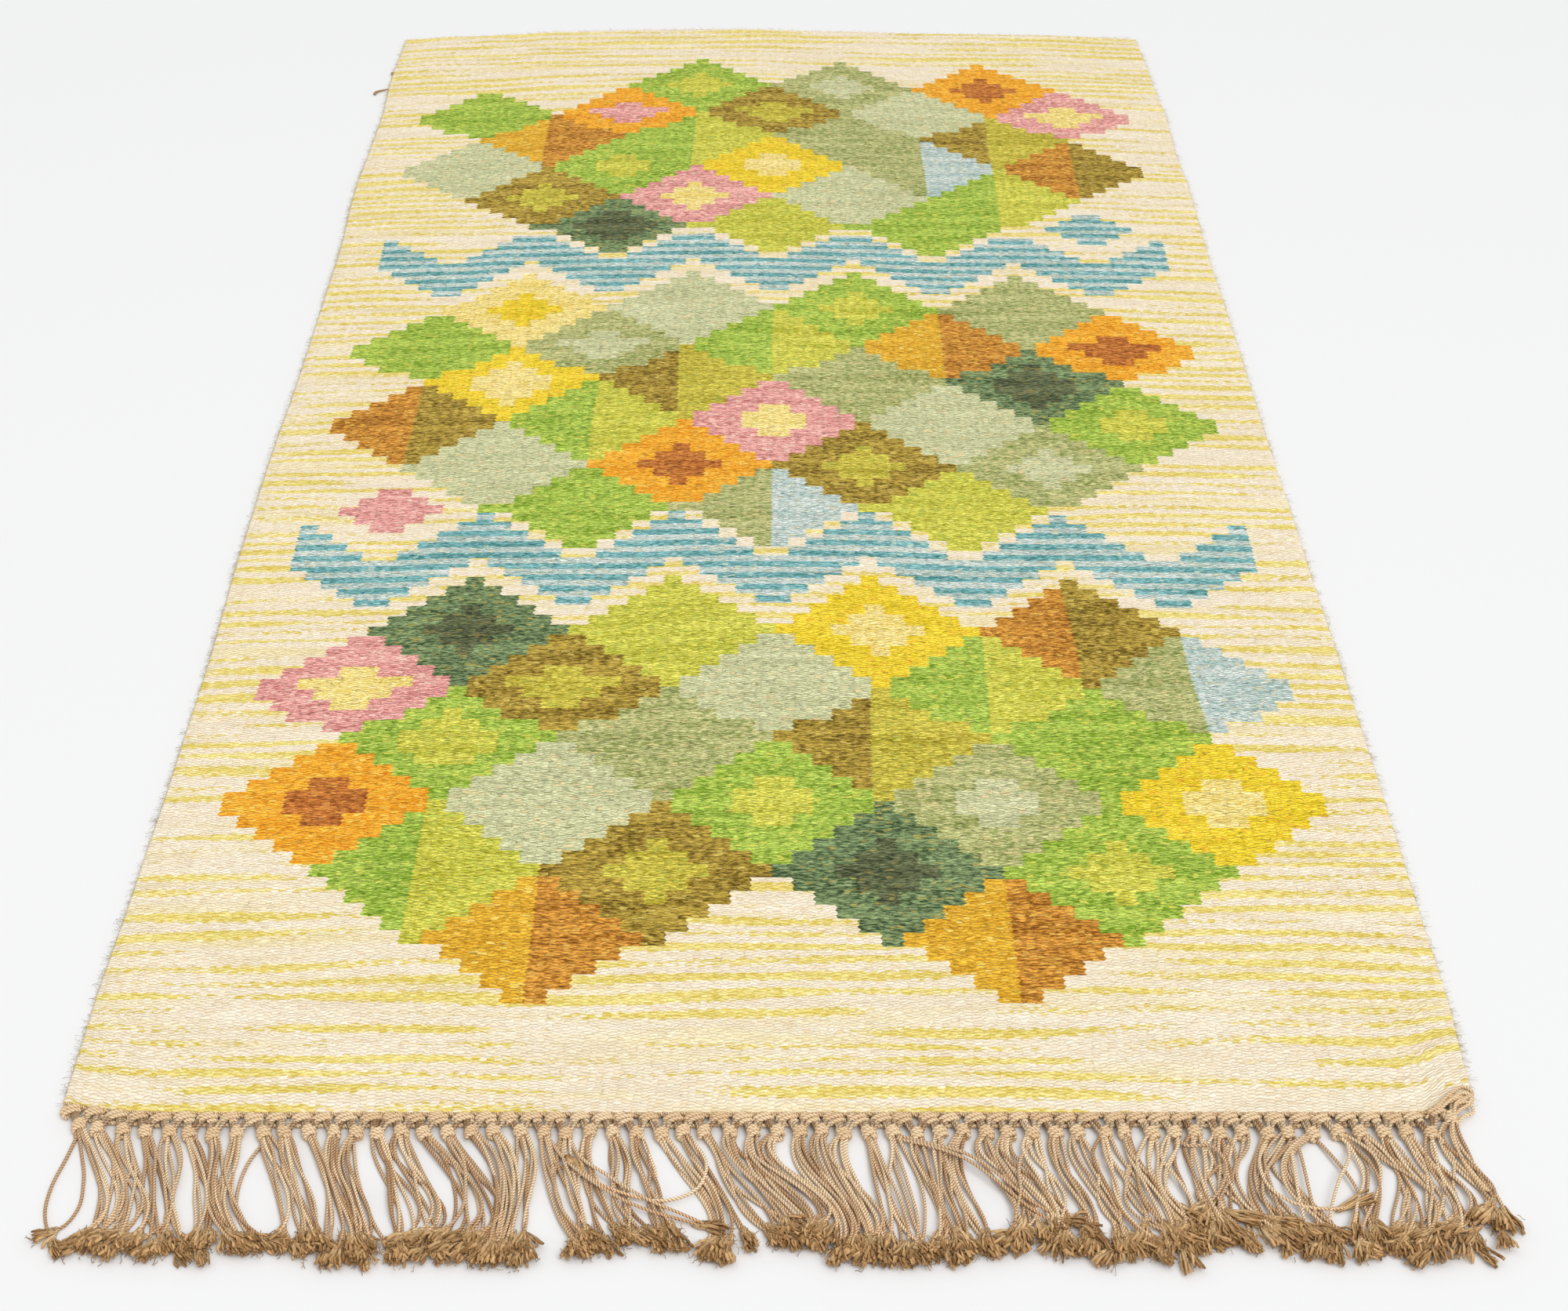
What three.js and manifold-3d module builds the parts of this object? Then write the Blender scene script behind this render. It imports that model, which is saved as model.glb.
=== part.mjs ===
// A flatwoven wool wall hanging with a knotted linen fringe, laid out flat on its back.
// Millimetres, +Z up. The origin is on the floor, in the middle of the whole outline.
// +X runs across the hanging, and +Y runs along it, from the fringe to the plain end.

import * as THREE from "three";
import { mergeVertices } from "three/addons/utils/BufferGeometryUtils.js";
import Module from "manifold-3d";

const wasm = await Module();
wasm.setup();

// Driving dimensions
const WIDTH = 763.5; // between the outermost points of the two selvedges
const LENGTH = 1723.5; // from the plain end to the tips of the fringe
const FRINGE_DROP = 110.5; // from the cloth's knotted edge to the tips
const CLOTH_THICKNESS = 3.0;
const RIM_ROUNDING = 0.8;
const PIECE_GAP = 0.3;

// The knotted heading: two rows of overhand knots, the lower row set between the upper ones
const LOWER_KNOTS = 60;
const KNOT_PITCH = 12.36;
const FIRST_KNOT_X = -366.8;
const UPPER_KNOT_DROP = 4.8; // from the cloth's edge to the middle of each row
const LOWER_KNOT_DROP = 11.4;
const KNOT_RADIUS = 4.4;
const KNOT_HEIGHT = 6.4;
const WEB_HEIGHT = 2.6; // of the warp ends between the knots
const HEADING_DEPTH = 13.2;
const SCALLOP = 1.8; // how far a lower knot stands out of the heading's edge

// The strands that hang from the lower knots
const STRANDS_PER_KNOT = 4;
const STRAND_WIDTH = 1.7;
const STRAND_HEIGHT = 1.9;
const STRAND_ROOT_SPACING = 2.0;
const STRAND_ROOT_LIFT = 0.8; // inside its knot, from where it comes down to the floor
const STRAND_STEPS = [0, 0.18, 0.42, 0.7, 1];
const FAN_OUT = 0.35; // the share of its length in which a strand leaves its knot's tight bundle
const UNEVEN_TIPS = 5; // between the longest and the shortest strand of a bunch

// Steps of the cloth's two selvedges and of its plain end
const SIDE_STEPS = 40;
const END_STEPS = 24;

const NEAR_Y = -LENGTH / 2 + FRINGE_DROP;
const FAR_Y = LENGTH / 2;

// How far each selvedge lies inside the widest line, by distance up from the knotted edge
const SELVEDGES = [
  { up: 0, left: 3.0, right: 4.5 },
  { up: 30, left: 3.0, right: 2.0 },
  { up: 90, left: 2.5, right: 0.0 },
  { up: 190, left: 4.0, right: 0.5 },
  { up: 290, left: 5.0, right: 0.5 },
  { up: 430, left: 5.0, right: 1.5 },
  { up: 570, left: 2.5, right: 2.8 },
  { up: 710, left: 2.0, right: 4.0 },
  { up: 870, left: 4.0, right: 4.5 },
  { up: 1060, left: 4.0, right: 6.0 },
  { up: 1210, left: 0.0, right: 4.8 },
  { up: 1300, left: 1.5, right: 7.0 },
  { up: 1380, left: 2.6, right: 5.5 },
  { up: 1470, left: 0.0, right: 9.0 },
  { up: 1613, left: 2.0, right: 12.5 },
];

// How far the plain end falls short of its furthest point, which makes it bow outwards
const PLAIN_END = [
  { across: -382, short: 30 },
  { across: -323, short: 22 },
  { across: -275, short: 17 },
  { across: -227, short: 8 },
  { across: -130, short: 2 },
  { across: -33, short: 0 },
  { across: 65, short: 8 },
  { across: 162, short: 15 },
  { across: 258, short: 18 },
  { across: 382, short: 28 },
];

// How far the knotted edge is drawn up at its two corners, in straight steps from knot to knot
const KNOTTED_END = [
  { knot: -1, lift: 8.5 },
  { knot: 0, lift: 5 },
  { knot: 1, lift: 3 },
  { knot: 2, lift: 1.5 },
  { knot: 3, lift: 0.6 },
  { knot: 5, lift: 0 },
  { knot: 57, lift: 0 },
  { knot: 58, lift: 1 },
  { knot: 59, lift: 5 },
  { knot: 60, lift: 13 },
];

// The tassels lie in bunches, from left to right, with bare floor between them. A bunch's shifts are
// sideways, at half length and at the tips. Its widths are shares of its knots' own width, and its
// reach is a share of the full length.
const BUNCHES = [
  { knots: 1, midShift: -3, tipShift: -6, midWidth: 1.0, tipWidth: 1.4, reach: 0.94 },
  { knots: 4, midShift: -4, tipShift: -6, midWidth: 0.9, tipWidth: 0.85, reach: 1.0 },
  { knots: 4, midShift: -5, tipShift: 0, midWidth: 0.7, tipWidth: 0.95, reach: 0.99 },
  { knots: 4, midShift: 1, tipShift: 4, midWidth: 0.78, tipWidth: 0.95, reach: 0.98 },
  { knots: 4, midShift: 5, tipShift: 12, midWidth: 0.72, tipWidth: 0.85, reach: 1.0 },
  { knots: 3, midShift: 3, tipShift: 8, midWidth: 0.74, tipWidth: 0.8, reach: 1.0 },
  { knots: 5, midShift: -1, tipShift: 4, midWidth: 0.8, tipWidth: 0.72, reach: 0.96 },
  { knots: 4, midShift: 8, tipShift: 12, midWidth: 0.75, tipWidth: 0.8, reach: 0.98 },
  { knots: 5, midShift: 12, tipShift: 22, midWidth: 0.78, tipWidth: 0.8, reach: 0.96 },
  { knots: 5, midShift: 9, tipShift: 16, midWidth: 0.8, tipWidth: 0.9, reach: 1.0 },
  { knots: 5, midShift: 7, tipShift: 13, midWidth: 0.75, tipWidth: 0.9, reach: 0.98 },
  { knots: 4, midShift: 8, tipShift: 10, midWidth: 0.78, tipWidth: 0.88, reach: 1.0 },
  { knots: 6, midShift: -2, tipShift: 8, midWidth: 0.74, tipWidth: 0.95, reach: 0.98 },
  { knots: 3, midShift: 8, tipShift: 6, midWidth: 0.72, tipWidth: 0.85, reach: 0.99 },
  { knots: 3, midShift: 6, tipShift: 12, midWidth: 0.9, tipWidth: 1.0, reach: 0.96 },
];

const smooth = (share) => share * share * (3 - 2 * share);
const straight = (share) => share;

// Reads one column of a table at a place between its rows, easing from row to row
function readTable(table, placeName, place, valueName, ease = smooth) {
  const after = table.findIndex((row) => row[placeName] >= place);
  if (after === 0) return table[0][valueName];
  if (after < 0) return table[table.length - 1][valueName];
  const low = table[after - 1];
  const high = table[after];
  const share = (place - low[placeName]) / (high[placeName] - low[placeName]);
  return THREE.MathUtils.lerp(low[valueName], high[valueName], ease(share));
}

const lowerKnotX = (knot) => FIRST_KNOT_X + knot * KNOT_PITCH;
const knotAt = (x) => (x - FIRST_KNOT_X) / KNOT_PITCH;

const leftEdge = (y) => -WIDTH / 2 + readTable(SELVEDGES, "up", y - NEAR_Y, "left");
const rightEdge = (y) => WIDTH / 2 - readTable(SELVEDGES, "up", y - NEAR_Y, "right");
const farEdge = (x) => FAR_Y - readTable(PLAIN_END, "across", x, "short");
const nearEdge = (x) => NEAR_Y + readTable(KNOTTED_END, "knot", knotAt(x), "lift", straight);

// Points on one edge, evenly spaced between two places and without the last one
function edgePoints(from, to, steps, pointAt) {
  const places = Array.from({ length: steps }, (_, step) => THREE.MathUtils.lerp(from, to, step / steps));
  return places.map(pointAt);
}

function clothOutline() {
  const nearLeft = leftEdge(NEAR_Y);
  const nearRight = rightEdge(NEAR_Y);
  const farLeft = leftEdge(FAR_Y);
  const farRight = rightEdge(FAR_Y);
  const turns = KNOTTED_END.map((row) => lowerKnotX(row.knot));
  const nearTurns = turns.filter((x) => x > nearLeft && x < nearRight);
  const alongNear = (x) => new THREE.Vector2(x, nearEdge(x));
  const alongFar = (x) => new THREE.Vector2(x, farEdge(x));
  const alongRight = (y) => new THREE.Vector2(rightEdge(y), y);
  const alongLeft = (y) => new THREE.Vector2(leftEdge(y), y);
  return [
    ...[nearLeft, ...nearTurns].map(alongNear),
    ...edgePoints(nearEdge(nearRight), farEdge(farRight), SIDE_STEPS, alongRight),
    ...edgePoints(farRight, farLeft, END_STEPS, alongFar),
    ...edgePoints(farEdge(farLeft), nearEdge(nearLeft), SIDE_STEPS, alongLeft),
  ];
}

function clothGeometry() {
  const geometry = new THREE.ExtrudeGeometry(new THREE.Shape(clothOutline()), {
    depth: CLOTH_THICKNESS - 2 * RIM_ROUNDING,
    bevelThickness: RIM_ROUNDING,
    bevelSize: RIM_ROUNDING,
    bevelOffset: -RIM_ROUNDING,
    bevelSegments: 1,
  });
  return geometry.translate(0, 0, RIM_ROUNDING);
}

// How far one row of knots stands above the warp ends at a place on the heading
function knotRise(x, drop, rowDrop, firstKnot, knots) {
  const nearest = THREE.MathUtils.clamp(Math.round((x - lowerKnotX(firstKnot)) / KNOT_PITCH), 0, knots - 1);
  const sideways = x - lowerKnotX(firstKnot + nearest);
  const away = Math.hypot(sideways, drop - rowDrop) / KNOT_RADIUS;
  return (KNOT_HEIGHT - WEB_HEIGHT) * Math.sqrt(Math.max(0, 1 - away * away));
}

function headingHeight(x, drop) {
  const upper = knotRise(x, drop, UPPER_KNOT_DROP, -0.5, LOWER_KNOTS + 1);
  const lower = knotRise(x, drop, LOWER_KNOT_DROP, 0, LOWER_KNOTS);
  return WEB_HEIGHT + Math.max(upper, lower);
}

// A closed strip along the cloth's edge, flat below and with the two rows of knots on its top
function headingGeometry() {
  const columnsPerKnot = 2;
  const columns = (LOWER_KNOTS + 1) * columnsPerKnot;
  const waistDrop = (UPPER_KNOT_DROP + LOWER_KNOT_DROP) / 2;
  const rowDrops = [PIECE_GAP, UPPER_KNOT_DROP, waistDrop, LOWER_KNOT_DROP, HEADING_DEPTH];
  const rows = rowDrops.length;
  const positions = [];
  for (let column = 0; column <= columns; column += 1) {
    const knot = column / columnsPerKnot - 1;
    const x = lowerKnotX(knot);
    const scallop = SCALLOP * Math.abs(Math.cos(Math.PI * knot));
    const drops = rowDrops.map((drop, row) => (row === rows - 1 ? drop + scallop : drop));
    const ys = drops.map((drop) => nearEdge(x) - drop);
    drops.forEach((drop, row) => positions.push(x, ys[row], headingHeight(x, drop)));
    positions.push(x, ys[0], 0, x, ys[rows - 1], 0);
  }
  const perColumn = rows + 2;
  const ring = [...Array(rows).keys(), rows + 1, rows];
  const indices = [];
  for (let column = 0; column < columns; column += 1) {
    const here = column * perColumn;
    const next = here + perColumn;
    ring.forEach((corner, place) => {
      const after = ring[(place + 1) % ring.length];
      indices.push(here + corner, here + after, next + corner);
      indices.push(next + corner, here + after, next + after);
    });
  }
  const last = columns * perColumn;
  for (let place = 1; place < ring.length - 1; place += 1) {
    indices.push(ring[0], ring[place + 1], ring[place]);
    indices.push(last + ring[0], last + ring[place], last + ring[place + 1]);
  }
  return closedGeometry(positions, indices);
}

function closedGeometry(positions, indices) {
  const geometry = new THREE.BufferGeometry();
  geometry.setAttribute("position", new THREE.Float32BufferAttribute(positions, 3));
  geometry.setIndex(indices);
  return geometry;
}

// The value at a share of a strand's length of the curve through its root, middle and tip values
function throughThree(root, middle, tip, share) {
  const bend = 2 * (root + tip - 2 * middle);
  return root + share * (tip - root - bend) + share * share * bend;
}

// A strand's sideways place at each step: out of its knot's tight bundle into its bunch's even spread
function strandX(bunch, bunchKnot, knotInBunch, strand, share) {
  const knotX = lowerKnotX(bunchKnot + knotInBunch);
  const bundled = knotX + (strand - (STRANDS_PER_KNOT - 1) / 2) * STRAND_ROOT_SPACING;
  const bunchWidth = bunch.knots * KNOT_PITCH;
  const bunchX = lowerKnotX(bunchKnot) + (bunchWidth - KNOT_PITCH) / 2;
  const place = (knotInBunch * STRANDS_PER_KNOT + strand + 0.5) / (bunch.knots * STRANDS_PER_KNOT) - 0.5;
  const width = bunchWidth * throughThree(1, bunch.midWidth, bunch.tipWidth, share);
  const spread = bunchX + throughThree(0, bunch.midShift, bunch.tipShift, share) + place * width;
  return THREE.MathUtils.lerp(bundled, spread, smooth(Math.min(1, share / FAN_OUT)));
}

// A three-sided strand that rests level on the floor, from inside its knot to its tip
function strandGeometry(bunch, bunchKnot, knotInBunch, strand) {
  const rootY = nearEdge(lowerKnotX(bunchKnot + knotInBunch)) - LOWER_KNOT_DROP;
  const shorter = UNEVEN_TIPS * Math.abs(Math.sin(2 * (bunchKnot + knotInBunch) + 3 * strand));
  const length = (FRINGE_DROP - LOWER_KNOT_DROP) * bunch.reach - shorter;
  const positions = [];
  for (const share of STRAND_STEPS) {
    const x = strandX(bunch, bunchKnot, knotInBunch, strand, share);
    const y = rootY - share * length;
    const low = share === 0 ? STRAND_ROOT_LIFT : 0;
    const high = low + STRAND_HEIGHT;
    positions.push(x - STRAND_WIDTH / 2, y, low, x + STRAND_WIDTH / 2, y, low, x, y, high);
  }
  const indices = [];
  for (let step = 0; step < STRAND_STEPS.length - 1; step += 1) {
    const here = 3 * step;
    for (let side = 0; side < 3; side += 1) {
      const next = (side + 1) % 3;
      indices.push(here + side, here + next, here + 3 + side);
      indices.push(here + next, here + 3 + next, here + 3 + side);
    }
  }
  const tip = 3 * (STRAND_STEPS.length - 1);
  indices.push(0, 2, 1, tip, tip + 1, tip + 2);
  return closedGeometry(positions, indices);
}

function toSolid(geometry) {
  const merged = mergeVertices(geometry, 1e-4);
  const vertProperties = new Float32Array(merged.attributes.position.array);
  const triVerts = new Uint32Array(merged.index.array);
  return new wasm.Manifold(new wasm.Mesh({ numProp: 3, vertProperties, triVerts }));
}

function fromSolid(solid) {
  const mesh = solid.getMesh();
  return closedGeometry(Array.from(mesh.vertProperties), Array.from(mesh.triVerts));
}

// The heading with every strand's root fused into it
function fringeGeometry() {
  let solid = toSolid(headingGeometry());
  let bunchKnot = 0;
  for (const bunch of BUNCHES) {
    for (let knotInBunch = 0; knotInBunch < bunch.knots; knotInBunch += 1) {
      for (let strand = 0; strand < STRANDS_PER_KNOT; strand += 1) {
        solid = solid.add(toSolid(strandGeometry(bunch, bunchKnot, knotInBunch, strand)));
      }
    }
    bunchKnot += bunch.knots;
  }
  return fromSolid(solid);
}

function namedMesh(name, geometry, color) {
  const flat = geometry.index ? geometry.toNonIndexed() : geometry;
  flat.computeVertexNormals();
  const material = new THREE.MeshStandardMaterial({ color, roughness: 0.95, metalness: 0 });
  const mesh = new THREE.Mesh(flat, material);
  mesh.name = name;
  return mesh;
}

const wallHanging = new THREE.Group();
wallHanging.add(namedMesh("cloth", clothGeometry(), 0xecdbab));
wallHanging.add(namedMesh("fringe", fringeGeometry(), 0xb39977));

export default wallHanging;
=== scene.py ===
# %% [markdown]
# A flatwoven wool hanging, laid out on its back on a pale floor, with a knotted linen fringe towards
# the camera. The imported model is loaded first: it fixes where the cloth and the fringe are, and every
# surface made below is set against it. All lengths are in metres.

import bpy
import numpy as np
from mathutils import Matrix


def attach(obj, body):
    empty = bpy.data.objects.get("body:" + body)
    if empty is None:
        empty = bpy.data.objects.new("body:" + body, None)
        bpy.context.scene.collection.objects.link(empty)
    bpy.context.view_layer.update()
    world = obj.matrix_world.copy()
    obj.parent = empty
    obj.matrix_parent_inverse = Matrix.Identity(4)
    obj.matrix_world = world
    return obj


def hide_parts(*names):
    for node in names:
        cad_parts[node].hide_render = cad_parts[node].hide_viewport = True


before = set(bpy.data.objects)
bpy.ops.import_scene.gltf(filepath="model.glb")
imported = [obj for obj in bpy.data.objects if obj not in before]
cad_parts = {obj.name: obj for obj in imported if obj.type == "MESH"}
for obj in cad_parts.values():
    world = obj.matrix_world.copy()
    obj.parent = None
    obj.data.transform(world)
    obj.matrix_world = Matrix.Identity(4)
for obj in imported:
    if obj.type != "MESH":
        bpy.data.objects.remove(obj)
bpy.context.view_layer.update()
MM = 0.001

# %% [markdown]
# The outline follows the model's: two selvedges that wander by a few millimetres, a plain end that
# bows outwards and a knotted end whose corners are drawn up. The same short tables that shaped the
# solids are repeated here, with the knotted end 3.5 mm nearer to the camera and its right corner
# drawn up a little more, as a closer look at the photograph showed.

# %% The outline
WIDTH = 763.5 * MM
LENGTH = 1723.5 * MM
FRINGE_DROP = 107.0 * MM
CLOTH_THICKNESS = 3.0 * MM
NEAR_Y = FRINGE_DROP - LENGTH / 2
FAR_Y = LENGTH / 2
KNOTS = 60
KNOT_PITCH = 12.36 * MM
FIRST_KNOT_X = -366.8 * MM
CORNER_REACH = 130 * MM  # how far up the cloth a drawn-up corner bends the wefts
NOISE_CELLS = 256

# In millimetres: how far each selvedge lies inside the widest line, by distance up from the knotted
# end; how far the plain end falls short; and how far the knotted end is drawn up, by knot number.
SELVEDGE_UP = [0, 30, 90, 190, 290, 430, 570, 710, 870, 1060, 1210, 1300, 1380, 1470, 1613]
SELVEDGE_LEFT = [3, 3, 2.5, 4, 5, 5, 2.5, 2, 4, 4, 0, 1.5, 2.6, 0, 2]
SELVEDGE_RIGHT = [4.5, 2, 0, 0.5, 0.5, 1.5, 2.8, 4, 4.5, 6, 4.8, 7, 5.5, 9, 12.5]
PLAIN_END_ACROSS = [-382, -323, -275, -227, -130, -33, 65, 162, 258, 382]
PLAIN_END_SHORT = [30, 22, 17, 8, 2, 0, 8, 15, 18, 28]
KNOTTED_END_KNOT = [-1, 0, 1, 2, 3, 5, 57, 58, 58.6, 59.2, 60]
KNOTTED_END_LIFT = [8.5, 5, 3, 1.5, 0.6, 0, 0, 0.5, 5, 11.5, 17]


def ease(share):
    """A share from 0 to 1, slow at both ends: three times its square less twice its cube."""
    return share * share * (3 - 2 * share)


def mix(first, second, share):
    """The value that lies the given share of the way from the first to the second."""
    return first + (second - first) * share


def read_eased(places, table_places, table_values):
    """A table read at any places, easing from each row of the table to the next."""
    table_places = np.array(table_places) * MM
    values = np.array(table_values) * MM
    places = np.clip(places, table_places[0], table_places[-1])
    after = np.clip(np.searchsorted(table_places, places), 1, len(values) - 1)
    share = (places - table_places[after - 1]) / (table_places[after] - table_places[after - 1])
    return mix(values[after - 1], values[after], ease(share))


def left_edge(y):
    return -WIDTH / 2 + read_eased(y - NEAR_Y, SELVEDGE_UP, SELVEDGE_LEFT)


def right_edge(y):
    return WIDTH / 2 - read_eased(y - NEAR_Y, SELVEDGE_UP, SELVEDGE_RIGHT)


def far_edge(x):
    return FAR_Y - read_eased(x, PLAIN_END_ACROSS, PLAIN_END_SHORT)


def near_edge(x):
    knot = (x - FIRST_KNOT_X) / KNOT_PITCH
    return NEAR_Y + np.interp(knot, KNOTTED_END_KNOT, KNOTTED_END_LIFT) * MM


def weft_line(x, along):
    """A weft near the knotted end bends as that end does; beyond the corners' reach it is straight."""
    drawn_up = 1 - ease(np.clip(along * LENGTH / CORNER_REACH, 0, 1))
    return NEAR_Y + (near_edge(x) - NEAR_Y) * drawn_up


def soft_noise(x, y, size, seed):
    """Smooth random hills from -1 to 1: a random height at each corner of a square grid of the
    given size, eased between the corners."""
    heights = np.random.default_rng(seed).uniform(-1, 1, (NOISE_CELLS, NOISE_CELLS))
    across, along = x / size + NOISE_CELLS // 2, y / size + NOISE_CELLS // 2
    column, row = np.floor(across).astype(int), np.floor(along).astype(int)
    share_x, share_y = ease(across - column), ease(along - row)
    column, row = column % (NOISE_CELLS - 1), row % (NOISE_CELLS - 1)
    low = mix(heights[row, column], heights[row, column + 1], share_x)
    high = mix(heights[row + 1, column], heights[row + 1, column + 1], share_x)
    return mix(low, high, share_y)


print("cloth corners", left_edge(NEAR_Y), right_edge(NEAR_Y), left_edge(FAR_Y), right_edge(FAR_Y))

# %% [markdown]
# The camera stands at the knotted end and looks along the hanging, a third of a right angle down.
# Its height, distance and lens come from how fast the two long sides run together in the photograph.

# %% The camera
CAMERA_PLACE = (0.00825, -1.81125, 0.9968)
CAMERA_PITCH_DOWN = np.radians(33.57)

camera_data = bpy.data.cameras.new("camera")
camera_data.sensor_fit = "HORIZONTAL"
camera_data.sensor_width = 36.0
camera_data.lens = 61.49
camera = bpy.data.objects.new("camera", camera_data)
camera.location = CAMERA_PLACE
camera.rotation_euler = (np.pi / 2 - CAMERA_PITCH_DOWN, 0, 0)
bpy.context.scene.collection.objects.link(camera)
bpy.context.scene.camera = camera

# %% [markdown]
# A mesh from numpy is quickest when whole arrays go in at once. This helper takes the vertices and
# one or more arrays of faces, each array with its own number of corners, and an optional UV place
# for every face corner. All pieces below are put into Blender by it.

# %% Put arrays into a mesh
def make_piece(name, vertices, face_groups, uv_maps=None):
    """A smooth-shaded mesh object at the origin, from arrays of vertices and of face corners."""
    mesh = bpy.data.meshes.new(name)
    corners = np.concatenate([group.ravel() for group in face_groups])
    sizes = np.concatenate([np.full(len(group), group.shape[1]) for group in face_groups])
    starts = np.concatenate([[0], np.cumsum(sizes)[:-1]])
    mesh.vertices.add(len(vertices))
    mesh.vertices.foreach_set("co", vertices.astype(np.float32).ravel())
    mesh.loops.add(len(corners))
    mesh.loops.foreach_set("vertex_index", corners.astype(np.int32))
    mesh.polygons.add(len(sizes))
    mesh.polygons.foreach_set("loop_start", starts.astype(np.int32))
    mesh.polygons.foreach_set("use_smooth", np.ones(len(sizes), bool))
    mesh.update(calc_edges=True)
    for uv_name, places in (uv_maps or {}).items():
        layer = mesh.uv_layers.new(name=uv_name)
        layer.data.foreach_set("uv", places.astype(np.float32).ravel())
    piece = bpy.data.objects.new(name, mesh)
    bpy.context.scene.collection.objects.link(piece)
    triangles = int((sizes - 2).sum())
    print(f"{name}: {len(vertices)} vertices, {triangles} triangles")
    return piece


# %% [markdown]
# The yarns are named by colour. Hand-spun wool is never one colour, so each yarn has a dark and a
# light shade, and the finish below mixes the two. A third shade, of another hue that was carded in
# with it, comes up in single beads. The numbers are screen colours from 0 to 255, made linear first.

# %% The yarns
YARNS = [  # name, dark shade, light shade, fleck
    ("cream", (237, 220, 189), (252, 240, 218), (234, 209, 172)),
    ("grass", (112, 147, 24), (198, 220, 98), (214, 206, 84)),
    ("lime", (168, 166, 34), (236, 231, 104), (150, 176, 60)),
    ("olive", (100, 77, 0), (206, 176, 74), (206, 184, 96)),
    ("pale_sage", (176, 180, 130), (224, 224, 178), (222, 196, 140)),
    ("mid_sage", (127, 139, 66), (213, 211, 148), (206, 186, 124)),
    ("teal", (48, 72, 38), (150, 172, 118), (178, 158, 72)),
    ("sky", (62, 130, 128), (148, 202, 204), (206, 216, 196)),
    ("blue_grey", (150, 178, 170), (224, 230, 222), (204, 196, 150)),
    ("brown_orange", (137, 79, 0), (240, 172, 70), (226, 182, 84)),
    ("gold", (198, 142, 22), (246, 196, 64), (246, 218, 116)),
    ("orange", (222, 138, 8), (255, 192, 62), (252, 206, 96)),
    ("yellow", (216, 186, 14), (255, 224, 70), (238, 168, 40)),
    ("pink", (196, 118, 112), (254, 192, 182), (246, 214, 190)),
    ("pale_yellow", (228, 200, 92), (255, 236, 166), (222, 186, 86)),
    ("dark_green", (46, 56, 30), (120, 128, 88), (138, 124, 62)),
    ("mustard", (155, 139, 20), (232, 218, 92), (158, 170, 64)),
    ("rust", (135, 60, 8), (224, 142, 62), (220, 150, 70)),
]
YARN = {name: place for place, (name, *_) in enumerate(YARNS)}


def linear(colour):
    """Screen colour to light: the share of 255, through the standard screen curve."""
    share = np.asarray(colour, float) / 255
    return np.where(share <= 0.04045, share / 12.92, ((share + 0.055) / 1.055) ** 2.4)


DARK_SHADES, LIGHT_SHADES, FLECKS = (
    np.array([linear(yarn[part]) for yarn in YARNS]) for part in (1, 2, 3))
print(len(YARNS), "yarns")

# %% [markdown]
# A weaver works from a chart: squares in rows, each square a colour. Ours is a traditional draft of
# stepped lozenges in three fields, with stepped zigzag bands between the fields. One letter stands
# for one lozenge, and a row of letters for one tier of the lattice, from the near end to the far.

# %% The chart
CHART_COLUMNS = 60
CHART_ROWS = 128
LOZENGE_WIDE = 11.0  # in chart squares
LOZENGE_TALL = 10.4
FIRST_COLUMN = 8.0
LOZENGES = {  # letter: outer yarn, inner yarn, build
    "G": ("grass", "lime", "nested"), "g": ("grass", "grass", "nested"),
    "L": ("lime", "grass", "halves"), "l": ("lime", "lime", "nested"),
    "M": ("mustard", "olive", "halves"), "O": ("olive", "mustard", "nested"),
    "o": ("olive", "brown_orange", "halves"), "S": ("pale_sage", "pale_sage", "nested"),
    "H": ("mid_sage", "pale_sage", "nested"), "h": ("mid_sage", "mid_sage", "nested"),
    "T": ("teal", "dark_green", "nested"), "N": ("brown_orange", "gold", "halves"),
    "A": ("orange", "rust", "nested"), "Y": ("yellow", "pale_yellow", "nested"),
    "P": ("pink", "pale_yellow", "nested"), "E": ("pale_yellow", "yellow", "nested"),
    "B": ("blue_grey", "mid_sage", "halves"), "R": ("orange", "pink", "nested"),
    "c": ("cream", "pink", "nested"), "d": ("cream", "sky", "nested"),
    ".": ("cream", "cream", "nested"),
}
FIELDS = [
    {"first_row": 11.5,
     "tiers": [". N . N .", "L O T G", "A S G H Y", "G h M g", "P O S L B", "T l Y o"]},
    {"first_row": 50.5,
     "tiers": ["c g B l .", "S A O H", "o L P S G", "Y M h T", "g H L N A", "E S G h"]},
    {"first_row": 89.5,
     "tiers": [". T l g d", "O P S L", "S G Y B o", "N L h M", "g R O S P", ". G H A"]},
]
BAND_ROWS = [44.6, 83.6]
BAND_TALL = 4.6
BAND_MARGIN = 2.5

chart_rows, chart_columns = np.mgrid[0:CHART_ROWS, 0:CHART_COLUMNS] + 0.5
chart = np.full((CHART_ROWS, CHART_COLUMNS), YARN["cream"])


def weave_lozenge(column, row, letter):
    """A square is in the lozenge when its shares of the half width and half height add up to less
    than one. The inner yarn takes the middle half of that sum, or one side."""
    outer, inner, build = LOZENGES[letter]
    across = (chart_columns - column) / (LOZENGE_WIDE / 2)
    along = (chart_rows - row) / (LOZENGE_TALL / 2)
    far = np.abs(across) + np.abs(along)
    second = far < 0.5 if build == "nested" else across < 0
    inside = far <= 1
    chart[inside] = np.where(second, YARN[inner], YARN[outer])[inside]


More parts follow.
